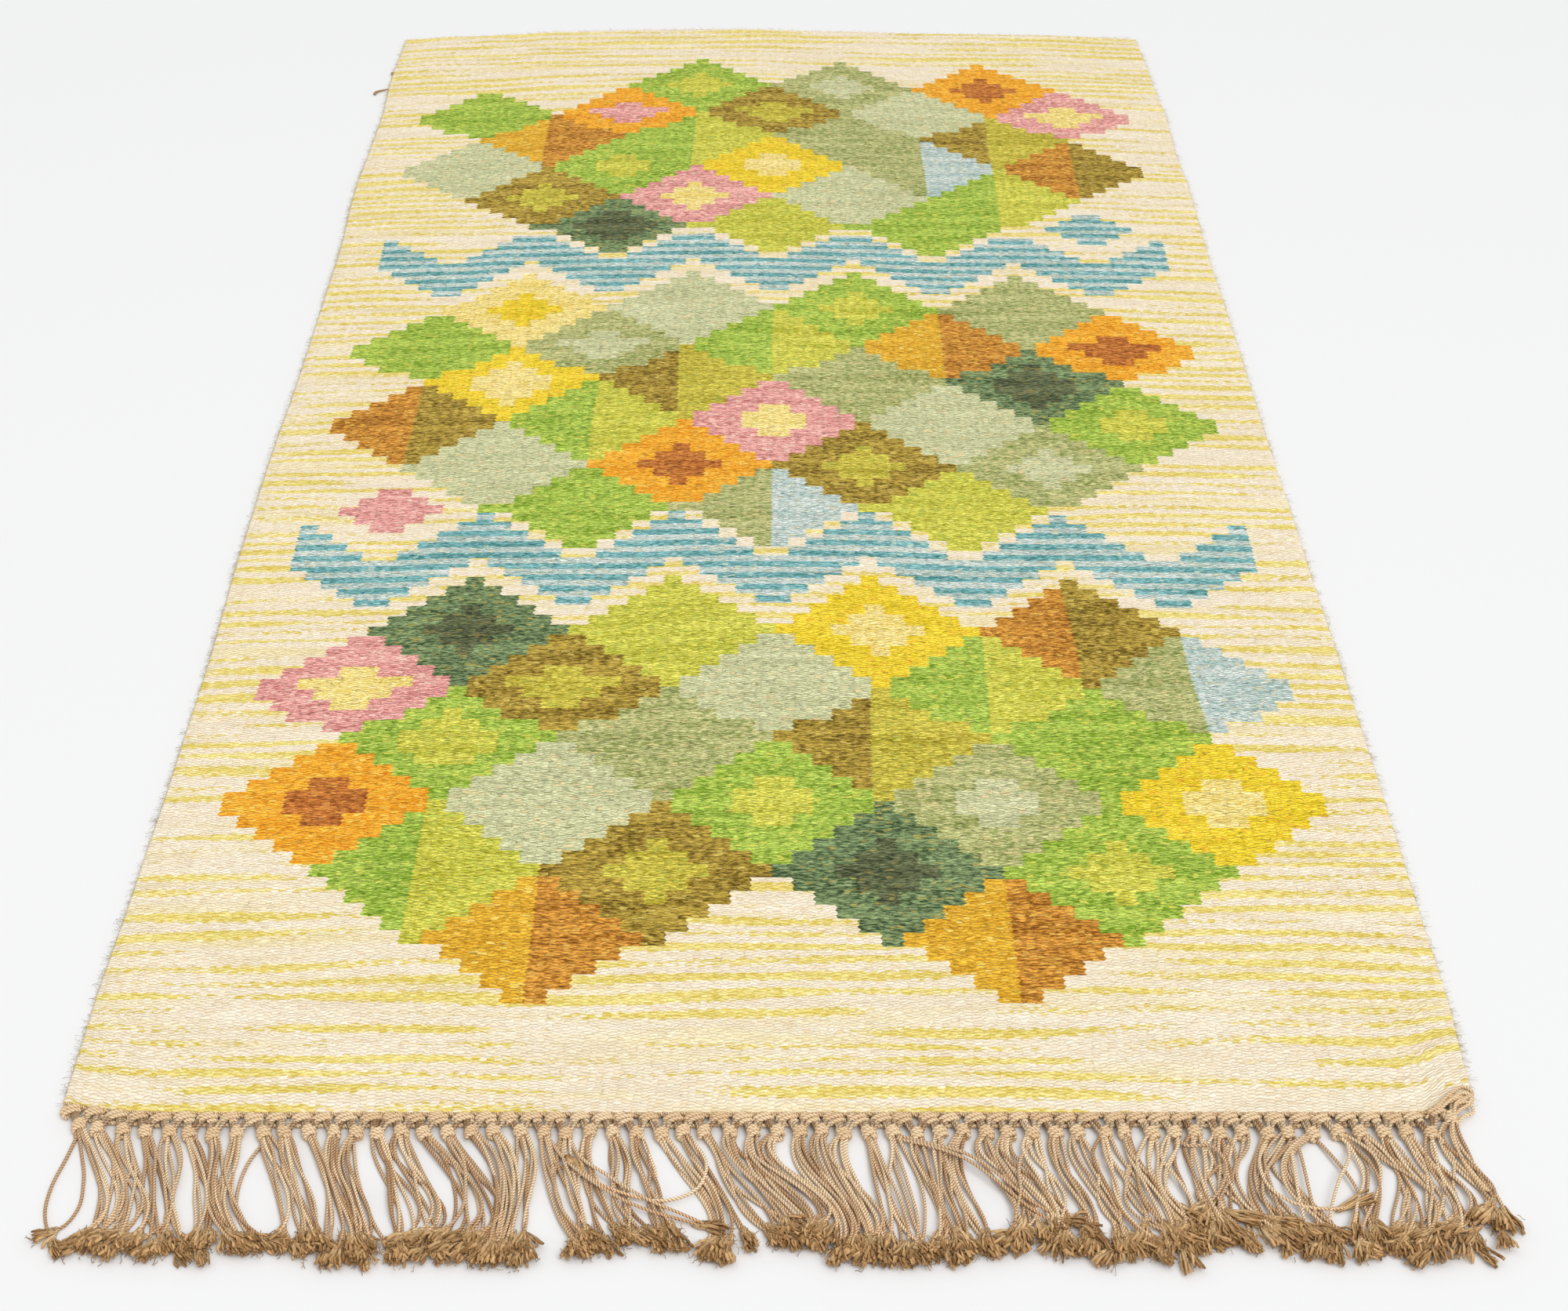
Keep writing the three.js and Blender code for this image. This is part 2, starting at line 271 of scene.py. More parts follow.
def weave_band(middle_row):
    """A zigzag with the lozenges' own slope: its middle line rises and falls by half a lozenge."""
    turn = np.abs(((chart_columns - FIRST_COLUMN) / LOZENGE_WIDE) % 1.0 - 0.5) * 2.0
    line = middle_row - LOZENGE_TALL / 2 * (turn - 0.5)
    inside = np.abs(chart_rows - line) < BAND_TALL / 2
    inside &= (chart_columns > BAND_MARGIN) & (chart_columns < CHART_COLUMNS - BAND_MARGIN)
    chart[inside] = YARN["sky"]


for field in FIELDS:
    for tier, letters in enumerate(field["tiers"]):
        for place, letter in enumerate(letters.split()):
            column = FIRST_COLUMN + LOZENGE_WIDE * (place + (tier % 2) / 2)
            weave_lozenge(column, field["first_row"] + tier * LOZENGE_TALL / 2, letter)
for band_row in BAND_ROWS:
    weave_band(band_row)
print("share of the chart that is patterned", round(float((chart != YARN["cream"]).mean()), 3))

# %% [markdown]
# The cloth is one closed sheet 3 mm thick. Its grid follows the chart: a line of vertices on every
# chart column and five for every chart row, so each colour change falls on a face edge. Two extra
# lines at each side make a rounded rim. Where two wefts meet in a tapestry they turn back round
# neighbouring warps, so the upright lines are set left and right in turn, which gives small teeth.

# %% The cloth's grid
FLAT_WIDTH = 0.757
FLAT_LENGTH = 1.600
LINES_PER_CHART_ROW = 5
RIM_LINES = np.array([0.0, 0.7, 1.8]) * MM
RIM_HEIGHTS = np.array([0.0, 0.72, 1.0])
CALM_SIDE = 20 * MM  # the borders in which the grid's wavering dies out
CALM_END = 30 * MM
TOOTH = 0.9 * MM
WAVER = 2.2 * MM
WAVER_SIZES = (0.11, 0.14)
RAGGED = 0.4 * MM
SCALLOP = 0.35 * MM


def grid_lines(squares, size):
    """Even lines from 0 to 1, with the rim's two extra lines inside each end."""
    inner = np.arange(1, squares) / squares
    return np.concatenate([RIM_LINES / size, inner, 1 - RIM_LINES[::-1] / size])


def rim_profile(count):
    """The share of the full thickness on each line: none at the rim, full from the third line in."""
    profile = np.ones(count)
    profile[:3] = RIM_HEIGHTS
    profile[-3:] = RIM_HEIGHTS[::-1]
    return profile


def lay_out(across, along):
    """Flat shares to the outline: first between the ends, then between the two selvedges there."""
    x = across * WIDTH - WIDTH / 2
    y = along * 0
    for _ in range(3):
        y = mix(weft_line(x, along), far_edge(x), along)
        x = mix(left_edge(y), right_edge(y), across)
    return x, y


across_lines = grid_lines(CHART_COLUMNS, FLAT_WIDTH)
along_lines = grid_lines(CHART_ROWS * LINES_PER_CHART_ROW, FLAT_LENGTH)
along, across = np.meshgrid(along_lines, across_lines, indexing="ij")
cloth_x, cloth_y = lay_out(across, along)
rows, columns = cloth_x.shape
line_number = np.arange(rows)[:, None]

inside_x = np.clip(np.minimum(across, 1 - across) * FLAT_WIDTH / CALM_SIDE, 0, 1)
inside_y = np.clip(np.minimum(along, 1 - along) * FLAT_LENGTH / CALM_END, 0, 1)
waver_x, waver_y = (WAVER * soft_noise(across * FLAT_WIDTH, along * FLAT_LENGTH, size, seed)
                    for size, seed in zip(WAVER_SIZES, (11, 12)))
teeth = TOOTH * (line_number % 2 * 2 - 1)
ragged = np.random.default_rng(13).uniform(-RAGGED, RAGGED, cloth_x.shape)
cloth_x = cloth_x + inside_x * inside_y * (waver_x + teeth + ragged)
cloth_y = cloth_y + inside_x * inside_y * waver_y

uneven_beat = line_number * np.pi * 0.9 + 0.7 * np.sin(line_number * 0.31)
edge_scallop = SCALLOP * np.sin(uneven_beat)
cloth_x[:, :1] += edge_scallop
cloth_x[:, -1:] += edge_scallop
print("grid", rows, "by", columns)

# %% [markdown]
# A laid cloth is never quite flat. Low hills a hand's breadth apart lift it by about a millimetre,
# and its surface is uneven from pick to pick. The underside follows, and stays above the floor.

# %% The cloth's two faces
LIFT = 1.3 * MM
HILL_SIZE = 0.12
RIPPLE_SIZE = 0.045
UNEVEN = 0.18 * MM

profile = np.outer(rim_profile(rows), rim_profile(columns))
hills = 0.5 + 0.5 * soft_noise(cloth_x, cloth_y, HILL_SIZE, 21)
ripple = 0.5 + 0.5 * soft_noise(cloth_x, cloth_y, RIPPLE_SIZE, 22)
lift = LIFT * (0.7 * hills + 0.3 * ripple) * (0.35 + 0.65 * inside_y)
uneven = UNEVEN * np.random.default_rng(23).uniform(-1, 1, cloth_x.shape)
half = CLOTH_THICKNESS / 2
top_z = half + lift + profile * (half + uneven)
bottom_z = half + lift - profile * half

top_points = np.stack([cloth_x, cloth_y, top_z], -1).reshape(-1, 3)
inner = (slice(1, -1), slice(1, -1))
bottom_points = np.stack([cloth_x[inner], cloth_y[inner], bottom_z[inner]], -1).reshape(-1, 3)
top_number = np.arange(rows * columns).reshape(rows, columns)
bottom_number = top_number.copy()
bottom_number[inner] = rows * columns + np.arange(len(bottom_points)).reshape(rows - 2, columns - 2)


def squares_corners(values):
    """The four corners of every square of a grid, anticlockwise, along a new third axis."""
    corners = [values[:-1, :-1], values[:-1, 1:], values[1:, 1:], values[1:, :-1]]
    return np.stack(corners, 2)


top_faces = squares_corners(top_number).reshape(-1, 4)
bottom_faces = squares_corners(bottom_number).reshape(-1, 4)[:, ::-1]

# %% [markdown]
# Two UV maps: "Weave" is in metres along the flat cloth and carries the weave's pattern, so it stays
# on the yarns wherever the cloth lies. "OFBake" lays the two faces side by side.

# %% The cloth's piece
weave_places = np.stack([across * FLAT_WIDTH, along * FLAT_LENGTH], -1)
bake_top = np.stack([0.01 + across * 0.48, 0.005 + along * 0.99], -1)
bake_bottom = np.stack([0.51 + across * 0.48, 0.005 + along * 0.99], -1)


def both_faces(top_values, bottom_values):
    """Corner values of the top faces, then of the underside's, whose corners run the other way."""
    upper, lower = (squares_corners(values).reshape(-1, 4, 2) for values in (top_values, bottom_values))
    return np.concatenate([upper, lower[:, ::-1]])


cloth = make_piece(
    "hanging_cloth",
    np.concatenate([top_points, bottom_points]),
    [top_faces, bottom_faces],
    {"Weave": both_faces(weave_places, weave_places), "OFBake": both_faces(bake_top, bake_bottom)},
)

# %% [markdown]
# Each face takes its yarn from the chart. The zigzag bands are shot with two blues in turn, three
# mesh rows of each. The three shades go into colour attributes, and one more attribute marks the
# cream ground, where a loose yellow yarn was laid in.

# %% Yarn colours on the cloth
SHOT_ROWS = 3


def squares_between(count, squares):
    """Which square each strip of the grid belongs to: the rim's strips join the outermost ones."""
    return np.clip(np.arange(count - 1) - 2, 0, squares - 1)


face_rows = squares_between(rows, CHART_ROWS * LINES_PER_CHART_ROW)
face_columns = squares_between(columns, CHART_COLUMNS)
face_yarn = chart[np.ix_(face_rows // LINES_PER_CHART_ROW, face_columns)]
shot = (face_rows[:, None] // SHOT_ROWS) % 2 == 0
face_yarn = np.where((face_yarn == YARN["sky"]) & shot, YARN["blue_grey"], face_yarn)
face_yarn = np.tile(face_yarn.ravel(), 2)


def set_corner_colours(piece, name, face_colours):
    """One colour for all four corners of each face."""
    layer = piece.data.color_attributes.new(name=name, type="FLOAT_COLOR", domain="CORNER")
    rgba = np.ones((len(face_colours), 4, 4), np.float32)
    rgba[:, :, :3] = face_colours[:, None, :]
    layer.data.foreach_set("color", rgba.ravel())


set_corner_colours(cloth, "yarn_dark", DARK_SHADES[face_yarn])
set_corner_colours(cloth, "yarn_light", LIGHT_SHADES[face_yarn])
set_corner_colours(cloth, "yarn_fleck", FLECKS[face_yarn])
ground = (face_yarn == YARN["cream"]).astype(float)
set_corner_colours(cloth, "ground", np.repeat(ground[:, None], 3, axis=1))

# %% [markdown]
# Small helpers keep the finishes readable: some add a node and wire its inputs, others stand for
# plain arithmetic, for noise and for reading an attribute, and the last four make a group and a
# material and wire them up.

# %% Helpers for nodes
def find_socket(node, name):
    """The input of that name or number that is in use: a Mix node keeps spare ones for other data."""
    if isinstance(name, int):
        return node.inputs[name]
    return next(socket for socket in node.inputs if socket.name == name and socket.enabled)


def add_node(tree, kind, inputs=None, **settings):
    """A new node, with its settings, and each input either wired to a socket or given a value."""
    node = tree.nodes.new(kind)
    for name, value in settings.items():
        setattr(node, name, value)
    for name, value in (inputs or {}).items():
        socket = find_socket(node, name)
        if isinstance(value, bpy.types.NodeSocket):
            tree.links.new(value, socket)
        else:
            socket.default_value = value
    return node


def calculate(tree, operation, first, second=0.0, third=0.0, clamp=False):
    node = add_node(tree, "ShaderNodeMath", {0: first, 1: second, 2: third},
                    operation=operation, use_clamp=clamp)
    return node.outputs[0]


def map_range(tree, value, low, high, to_low=0.0, to_high=1.0, **settings):
    """The value slid so that low becomes to_low and high becomes to_high, and held there beyond."""
    inputs = {"Value": value, "From Min": low, "From Max": high, "To Min": to_low, "To Max": to_high}
    return add_node(tree, "ShaderNodeMapRange", inputs, **settings).outputs[0]


def mix_colours(tree, share, first, second):
    """The colour that lies the given share of the way from the first to the second."""
    node = add_node(tree, "ShaderNodeMix", {"Factor": share, "A": first, "B": second}, data_type="RGBA")
    return next(socket for socket in node.outputs if socket.enabled)


def mix_shades(tree, tone, shades):
    """A dark and a light screen colour, mixed by the tone."""
    dark, light = ((*linear(shade), 1) for shade in shades)
    return mix_colours(tree, tone, dark, light)


def scale_colour(tree, colour, share):
    """The colour made darker or lighter by a share."""
    node = add_node(tree, "ShaderNodeVectorMath", {0: colour, "Scale": share}, operation="SCALE")
    return node.outputs[0]


def plain_noise(tree, place, detail):
    """Noise whose grains are one unit of the place long."""
    return add_node(tree, "ShaderNodeTexNoise", {"Vector": place, "Scale": 1.0, "Detail": detail})


def stretched_noise(tree, place, per_metre, detail=2.0):
    """Noise whose grains are one metre divided by per_metre long, along each direction."""
    scaled = add_node(tree, "ShaderNodeVectorMath", {0: place, 1: per_metre}, operation="MULTIPLY")
    return plain_noise(tree, scaled.outputs[0], detail)


def read_attribute(tree, name, output="Color"):
    return add_node(tree, "ShaderNodeAttribute", attribute_name=name).outputs[output]


def read_uv(tree, name):
    return add_node(tree, "ShaderNodeUVMap", uv_map=name).outputs[0]


def new_group(name, inputs, outputs):
    """An empty node group with named sockets, and its input and output nodes."""
    tree = bpy.data.node_groups.new(name, "ShaderNodeTree")
    for socket_name, kind in inputs:
        tree.interface.new_socket(socket_name, in_out="INPUT", socket_type=kind)
    for socket_name, kind in outputs:
        tree.interface.new_socket(socket_name, in_out="OUTPUT", socket_type=kind)
    return tree, tree.nodes.new("NodeGroupInput"), tree.nodes.new("NodeGroupOutput")


def wire_outputs(tree, result, sockets):
    """Each named socket into the group's output of that name."""
    for name, socket in sockets.items():
        tree.links.new(socket, result.inputs[name])
    return tree


def new_material(name, slot_colour):
    """A material with only its Principled shader and its output."""
    material = bpy.data.materials.new(name)
    material.use_nodes = True
    material.diffuse_color = (*slot_colour, 1)
    shader = material.node_tree.nodes["Principled BSDF"]
    return material, material.node_tree, shader


def wire_shader(tree, shader, colour, height, bump_size, bump_strength, roughness, specular):
    """The colour and a bump vary over the surface; roughness and specular level do not."""
    bump = add_node(tree, "ShaderNodeBump",
                    {"Height": height, "Distance": bump_size, "Strength": bump_strength})
    tree.links.new(colour, shader.inputs["Base Color"])
    tree.links.new(bump.outputs[0], shader.inputs["Normal"])
    shader.inputs["Roughness"].default_value = roughness
    shader.inputs["Specular IOR Level"].default_value = specular


# %% [markdown]
# In a weft-faced weave the wool hides the warp. Each weft passes over one warp and under the next,
# so over every warp there is a column of small beads, and the beads of neighbouring columns are set
# half a bead apart, as bricks are. One pick shows on every other column, so its slubs and shades make
# broken lines across. The group works all that out from the flat place on the cloth. The beads'
# edges are bent by a noise first, because a hand-beaten weave is never as even as bricks.

# %% The weave group
RIB_PITCH = 4.3 * MM
BEAD_TALL = 2.5 * MM
WANDER_GRAIN = (90, 70, 1)  # per metre, as all grains below are
WANDER_REACH = (9 * MM, 8 * MM, 0)
FALL_ACROSS = 0.2
FALL_ALONG = 0.82
SLUBS_ALONG = 26
PICK_STEP = 5.37  # takes each pick to another part of the slubs' noise
FLECK_GRAIN = (190, 640, 1)
BAND_GRAIN = (9, 75, 1)
SHADE_DASH_GRAIN = (150, 600, 1)
TONE_SHARES = {"chance": 0.3, "slub": 0.35, "fleck": 0.65, "band": 1.1, "less": 0.7}


def off_centre(tree, value):
    """How far the value is from the middle between two whole numbers, from -1 to 1, squared."""
    share = calculate(tree, "MULTIPLY_ADD", calculate(tree, "FRACT", value), 2.0, -1.0)
    return calculate(tree, "MULTIPLY", share, share)


def make_weave_group():
    """Bead: 1 on the crown, less a fifth of the squared distance from it across the rib and less
    four fifths of that along it. Chance: one random value per bead. Tone: the yarn's shade, a sum of
    that chance, of slubs that run along one pick and are new for the next, of short flecks and of
    wide bands. Fleck: the flecks alone. Last, the dashes: 1 on short thin lines, the deepest gaps in
    the yarn, where the finish paints shade."""
    names = ("Bead", "Chance", "Tone", "Fleck", "ShadeDash")
    tree, given, result = new_group(
        "flatweave", [("Place", "NodeSocketVector")], [(name, "NodeSocketFloat") for name in names])
    place = given.outputs["Place"]
    wander = stretched_noise(tree, place, WANDER_GRAIN, 4.0).outputs["Color"]
    centred = add_node(tree, "ShaderNodeVectorMath", {0: wander, 1: (0.5, 0.5, 0.5)},
                       operation="SUBTRACT").outputs[0]
    moved = add_node(tree, "ShaderNodeVectorMath", {0: centred, 1: WANDER_REACH, 2: place},
                     operation="MULTIPLY_ADD").outputs[0]
    parts = add_node(tree, "ShaderNodeSeparateXYZ", {0: moved})

    rib = calculate(tree, "DIVIDE", parts.outputs[0], RIB_PITCH)
    rib_number = calculate(tree, "FLOOR", rib)
    half_step = calculate(tree, "FRACT", calculate(tree, "MULTIPLY", rib_number, 0.5))
    pick = calculate(tree, "ADD", calculate(tree, "DIVIDE", parts.outputs[1], BEAD_TALL), half_step)
    pick_number = calculate(tree, "SUBTRACT", calculate(tree, "FLOOR", pick), half_step)
    fallen = calculate(tree, "MULTIPLY", off_centre(tree, pick), FALL_ALONG)
    fallen = calculate(tree, "MULTIPLY_ADD", off_centre(tree, rib), FALL_ACROSS, fallen)
    bead = calculate(tree, "SUBTRACT", 1.0, fallen, clamp=True)

    numbers = add_node(tree, "ShaderNodeCombineXYZ", {0: rib_number, 1: pick_number})
    chance = add_node(tree, "ShaderNodeTexWhiteNoise", {"Vector": numbers.outputs[0]},
                      noise_dimensions="2D").outputs["Value"]
    yarn_place = add_node(tree, "ShaderNodeCombineXYZ", {
        0: calculate(tree, "MULTIPLY", parts.outputs[0], SLUBS_ALONG),
        1: calculate(tree, "MULTIPLY", pick_number, PICK_STEP)})
    slub = plain_noise(tree, yarn_place.outputs[0], 2.0).outputs["Fac"]
    fleck = stretched_noise(tree, place, FLECK_GRAIN).outputs["Fac"]
    band = stretched_noise(tree, place, BAND_GRAIN).outputs["Fac"]
    # The dashes mark where the finish puts painted shade.
    shade_dash = stretched_noise(tree, moved, SHADE_DASH_GRAIN, 3.0).outputs["Fac"]

    parts_of_tone = {"slub": map_range(tree, slub, 0.36, 0.64),
                     "fleck": map_range(tree, fleck, 0.4, 0.6), "band": band}
    tone = calculate(tree, "MULTIPLY", chance, TONE_SHARES["chance"])
    for name, socket in parts_of_tone.items():
        tone = calculate(tree, "MULTIPLY_ADD", socket, TONE_SHARES[name], tone)
    tone = calculate(tree, "SUBTRACT", tone, TONE_SHARES["less"], clamp=True)
    return wire_outputs(tree, result, {"Bead": bead, "Chance": chance, "Tone": tone, "Fleck": fleck,
                                       "ShadeDash": map_range(tree, shade_dash, 0.53, 0.62)})


weave_group = make_weave_group()

# %% [markdown]
# The yellow yarn in the ground runs in thin lines across the cloth, one to three picks thick, often in
# pairs, each a hand or two long. It was carded unevenly with the cream, so a line is a broken row of
# yellow and cream. The group gives each place a likelihood of yellow and compares it with the weave's
# tone, so the yellow comes up on the darker flecks first.

# %% The ground's streaks
STREAK_PITCH = 13.5 * MM
BEND_GRAIN = (2.2, 13.0, 1)
BEND_REACH = 3.2  # in pitches
PRESENCE_ALONG = 5.0  # grains to the metre
LINE_STEP = 7.31  # takes each line to another part of that noise
TINGE_GRAIN = (4.0, 55.0, 1)
TINGE_SHARE = 0.4


def make_streak_group():
    """Mask: 1 on yellow yarn. The lines are the middles of bands one pitch apart, bent by a slow
    noise. The likelihood is a noise that runs along the line, times a share that falls from one near
    the line to nothing at two fifths of the pitch from it. The mask is how far the likelihood is
    ahead of the tone. Between the lines a wide flat noise leaves a weak tinge."""
    tree, given, result = new_group(
        "laid_in_streaks", [("Place", "NodeSocketVector"), ("Tone", "NodeSocketFloat")],
        [("Mask", "NodeSocketFloat")])
    place = given.outputs["Place"]
    bend = stretched_noise(tree, place, BEND_GRAIN).outputs["Fac"]
    parts = add_node(tree, "ShaderNodeSeparateXYZ", {0: place})
    even = calculate(tree, "DIVIDE", parts.outputs[1], STREAK_PITCH)
    line = calculate(tree, "MULTIPLY_ADD", bend, BEND_REACH, even)
    off_line = calculate(tree, "SUBTRACT", calculate(tree, "FRACT", line), 0.5)
    near = map_range(tree, calculate(tree, "ABSOLUTE", off_line), 0.42, 0.08)
    along_line = add_node(tree, "ShaderNodeCombineXYZ", {
        0: calculate(tree, "MULTIPLY", parts.outputs[0], PRESENCE_ALONG),
        1: calculate(tree, "MULTIPLY", calculate(tree, "FLOOR", line), LINE_STEP)})
    presence = plain_noise(tree, along_line.outputs[0], 3.0).outputs["Fac"]
    likely = calculate(tree, "MULTIPLY", map_range(tree, presence, 0.36, 0.6), near)

    held = calculate(tree, "MULTIPLY", given.outputs["Tone"], 0.9)
    ahead = calculate(tree, "SUBTRACT", calculate(tree, "MULTIPLY_ADD", likely, 1.9, -0.3), held)
    mask = calculate(tree, "MULTIPLY_ADD", ahead, 2.4, 0.4, clamp=True)
    mask = calculate(tree, "MULTIPLY", mask, calculate(tree, "GREATER_THAN", likely, 0.02))
    broad = stretched_noise(tree, place, TINGE_GRAIN, 3.0).outputs["Fac"]
    tinge = map_range(tree, broad, 0.5, 0.66, to_high=TINGE_SHARE)
    return wire_outputs(tree, result, {"Mask": calculate(tree, "MAXIMUM", mask, tinge)})


streak_group = make_streak_group()

# %% [markdown]
# The wool's finish puts the parts together: the two yarn shades mixed by the weave's tone, a third
# shade on single beads, the yellow streaks on the ground, painted shade in the gaps between the beads
# and along short dashes, painted light on the beads' crowns, and the beads as a bump. The coloured
# yarns are spun less evenly than the ground's, so their gaps get deeper painted shade. Wool is matt
# with a faint bloom, so the shader is rough with a little sheen.

# %% The wool finish
STREAK_SHADES = ((218, 192, 66), (254, 238, 152))
STREAK_SHARE = 0.92
FLECKED_SHARE = 0.6
# Painted light and shade: how far the colour is darkened in the gaps and along the dashes, and lightened
# on the crowns.
GAP_PAINTED_SHADE = (-0.44, -0.14)  # on the coloured yarns, on the ground
CROWN_PAINTED_LIGHT = (1.23, 1.07)
DASH_PAINTED_SHADE = (-0.4, -0.06)


def make_wool():
    material, tree, shader = new_material("wool_weave", linear((238, 223, 183)))
    uv = read_uv(tree, "Weave")
    weave = add_node(tree, "ShaderNodeGroup", {"Place": uv}, node_tree=weave_group).outputs
    tone = weave["Tone"]
    streaks = add_node(tree, "ShaderNodeGroup", {"Place": uv, "Tone": tone}, node_tree=streak_group)
    ground_mark = read_attribute(tree, "ground", "Fac")

    def coloured_or_ground(values):
        coloured, plain = values
        return calculate(tree, "MULTIPLY_ADD", ground_mark, plain - coloured, coloured)

    wool = mix_colours(tree, tone, read_attribute(tree, "yarn_dark"), read_attribute(tree, "yarn_light"))
    flecked = calculate(tree, "MULTIPLY_ADD", weave["Chance"], 8.0, -6.9, clamp=True)
    flecked = calculate(tree, "MULTIPLY", flecked, FLECKED_SHARE)
    wool = mix_colours(tree, flecked, wool, read_attribute(tree, "yarn_fleck"))
    streaked = calculate(tree, "MULTIPLY", streaks.outputs["Mask"], ground_mark)
    streaked = calculate(tree, "MULTIPLY", streaked, STREAK_SHARE)
    wool = mix_colours(tree, streaked, wool, mix_shades(tree, tone, STREAK_SHADES))

    # Painted shade in the gaps between beads and along the dashes, painted light on the crowns: the
    # colour is scaled by it.
    gap = calculate(tree, "SUBTRACT", 1.0, weave["Bead"])
    shade = calculate(tree, "MULTIPLY_ADD", gap, coloured_or_ground(GAP_PAINTED_SHADE),
                      coloured_or_ground(CROWN_PAINTED_LIGHT))
    shade = calculate(tree, "MULTIPLY_ADD", weave["ShadeDash"], coloured_or_ground(DASH_PAINTED_SHADE), shade)
    height = calculate(tree, "MULTIPLY_ADD", weave["Fleck"], 0.5, weave["Bead"])
    wire_shader(tree, shader, scale_colour(tree, wool, shade), height, 1.0 * MM, 0.75, 0.95, 0.08)
    shader.inputs["Sheen Weight"].default_value = 0.04
    shader.inputs["Sheen Roughness"].default_value = 0.6
    return material


cloth.data.materials.append(make_wool())

# %% [markdown]
# Everything in the fringe is twine, so one helper makes any number of round tubes at once. A path is
# a row of points; a ring of vertices stands square to the path at each point. The UV runs round the
# tube and along it in metres, and every tube carries one random number for its own shade.

# %% Tubes along many paths
UP = np.array([0.0, 0.0, 1.0])
ALONG_X = np.array([1.0, 0.0, 0.0])
ALONG_Y = np.array([0.0, 1.0, 0.0])


def unit(vectors):
    return vectors / np.maximum(np.linalg.norm(vectors, axis=-1, keepdims=True), 1e-12)


def tube_arrays(paths, radii, sides, reference, rough, rng):
    """Each ring is the path's point plus the radius times the cosine and sine of an even turn, in
    the two directions that are square to the path. Rough walls stray from the circle at random. Both
    ends are closed by one face."""
    count, steps, _ = paths.shape
    along_path = unit(np.gradient(paths, axis=1))
    sideways = unit(np.cross(along_path, np.broadcast_to(reference, paths.shape)))
    upwards = np.cross(sideways, along_path)
    turn = 2 * np.pi * np.arange(sides) / sides
    ring = np.cos(turn)[:, None] * sideways[:, :, None] + np.sin(turn)[:, None] * upwards[:, :, None]
    strayed = 1 + rough * rng.uniform(-1, 1, (count, steps, sides))
    reach = np.broadcast_to(radii, (count, steps))[:, :, None] * strayed
    points = paths[:, :, None] + reach[:, :, :, None] * ring
    number = np.arange(count * steps * sides).reshape(count, steps, sides)
    after = np.roll(number, -1, axis=2)
    walls = np.stack([number[:, :-1], number[:, 1:], after[:, 1:], after[:, :-1]], -1)
    caps = np.concatenate([number[:, 0], number[:, -1, ::-1]])
    return points.reshape(-1, 3), walls.reshape(-1, 4), caps


def tube_uvs(paths, sides):
    """Round the tube from 0 to 1, and along it in metres, at each corner of the walls and caps."""
    count, steps, _ = paths.shape
    stretch = np.linalg.norm(np.diff(paths, axis=1), axis=-1)
    length = np.concatenate([np.zeros((count, 1)), np.cumsum(stretch, axis=1)], axis=1)
    turn = np.arange(sides + 1) / sides
    near_turn, far_turn = turn[:-1], turn[1:]
    low, high = length[:, :-1, None], length[:, 1:, None]
    shape = (count, steps - 1, sides)
    corners = [(near_turn, low), (near_turn, high), (far_turn, high), (far_turn, low)]
    walls = np.stack([np.stack([np.broadcast_to(u, shape), np.broadcast_to(v, shape)], -1)
                      for u, v in corners], -2).reshape(-1, 2)
    cap_turns = np.broadcast_to(near_turn, (count, sides))
    first = np.stack([cap_turns, np.zeros((count, sides))], -1).reshape(-1, 2)
    last = np.stack([cap_turns, np.broadcast_to(length[:, -1:], (count, sides))], -1).reshape(-1, 2)
    return np.concatenate([walls, first, last])


def make_tubes(name, bundles, seed):
    """One piece from several bundles of tubes: paths, radii, sides, reference and roughness of each."""
    points, walls_all, caps_all, uv_walls, uv_caps, shades = [], [], [], [], [], []
    rng = np.random.default_rng(seed)
    start = 0
    for paths, radii, sides, reference, rough in bundles:
        vertices, walls, caps = tube_arrays(paths, radii, sides, reference, rough, rng)
        uvs = tube_uvs(paths, sides)
        points.append(vertices)
        walls_all.append(walls + start)
        caps_all.append(caps + start)
        uv_walls.append(uvs[:walls.size])
        uv_caps.append(uvs[walls.size:])
        shades.append(np.repeat(rng.uniform(0, 1, len(paths)), paths.shape[1] * sides))
        start += len(vertices)
    faces = [np.concatenate(walls_all)] + caps_all
    piece = make_piece(name, np.concatenate(points), faces, {"Twine": np.concatenate(uv_walls + uv_caps)})
    layer = piece.data.attributes.new("shade", "FLOAT", "POINT")
    layer.data.foreach_set("value", np.concatenate(shades).astype(np.float32))
    return piece


# %% [markdown]
# The warp ends leave the cloth side by side, six to a knot. Each goes through an upper knot, slants
# to one of the two lower knots beside it, and lies free from there. The tassels have been pushed
# into bunches that lean this way and that. The table gives, for each bunch, how far its left and its
# right strand have moved sideways at a third, at two thirds and at the end of their way.

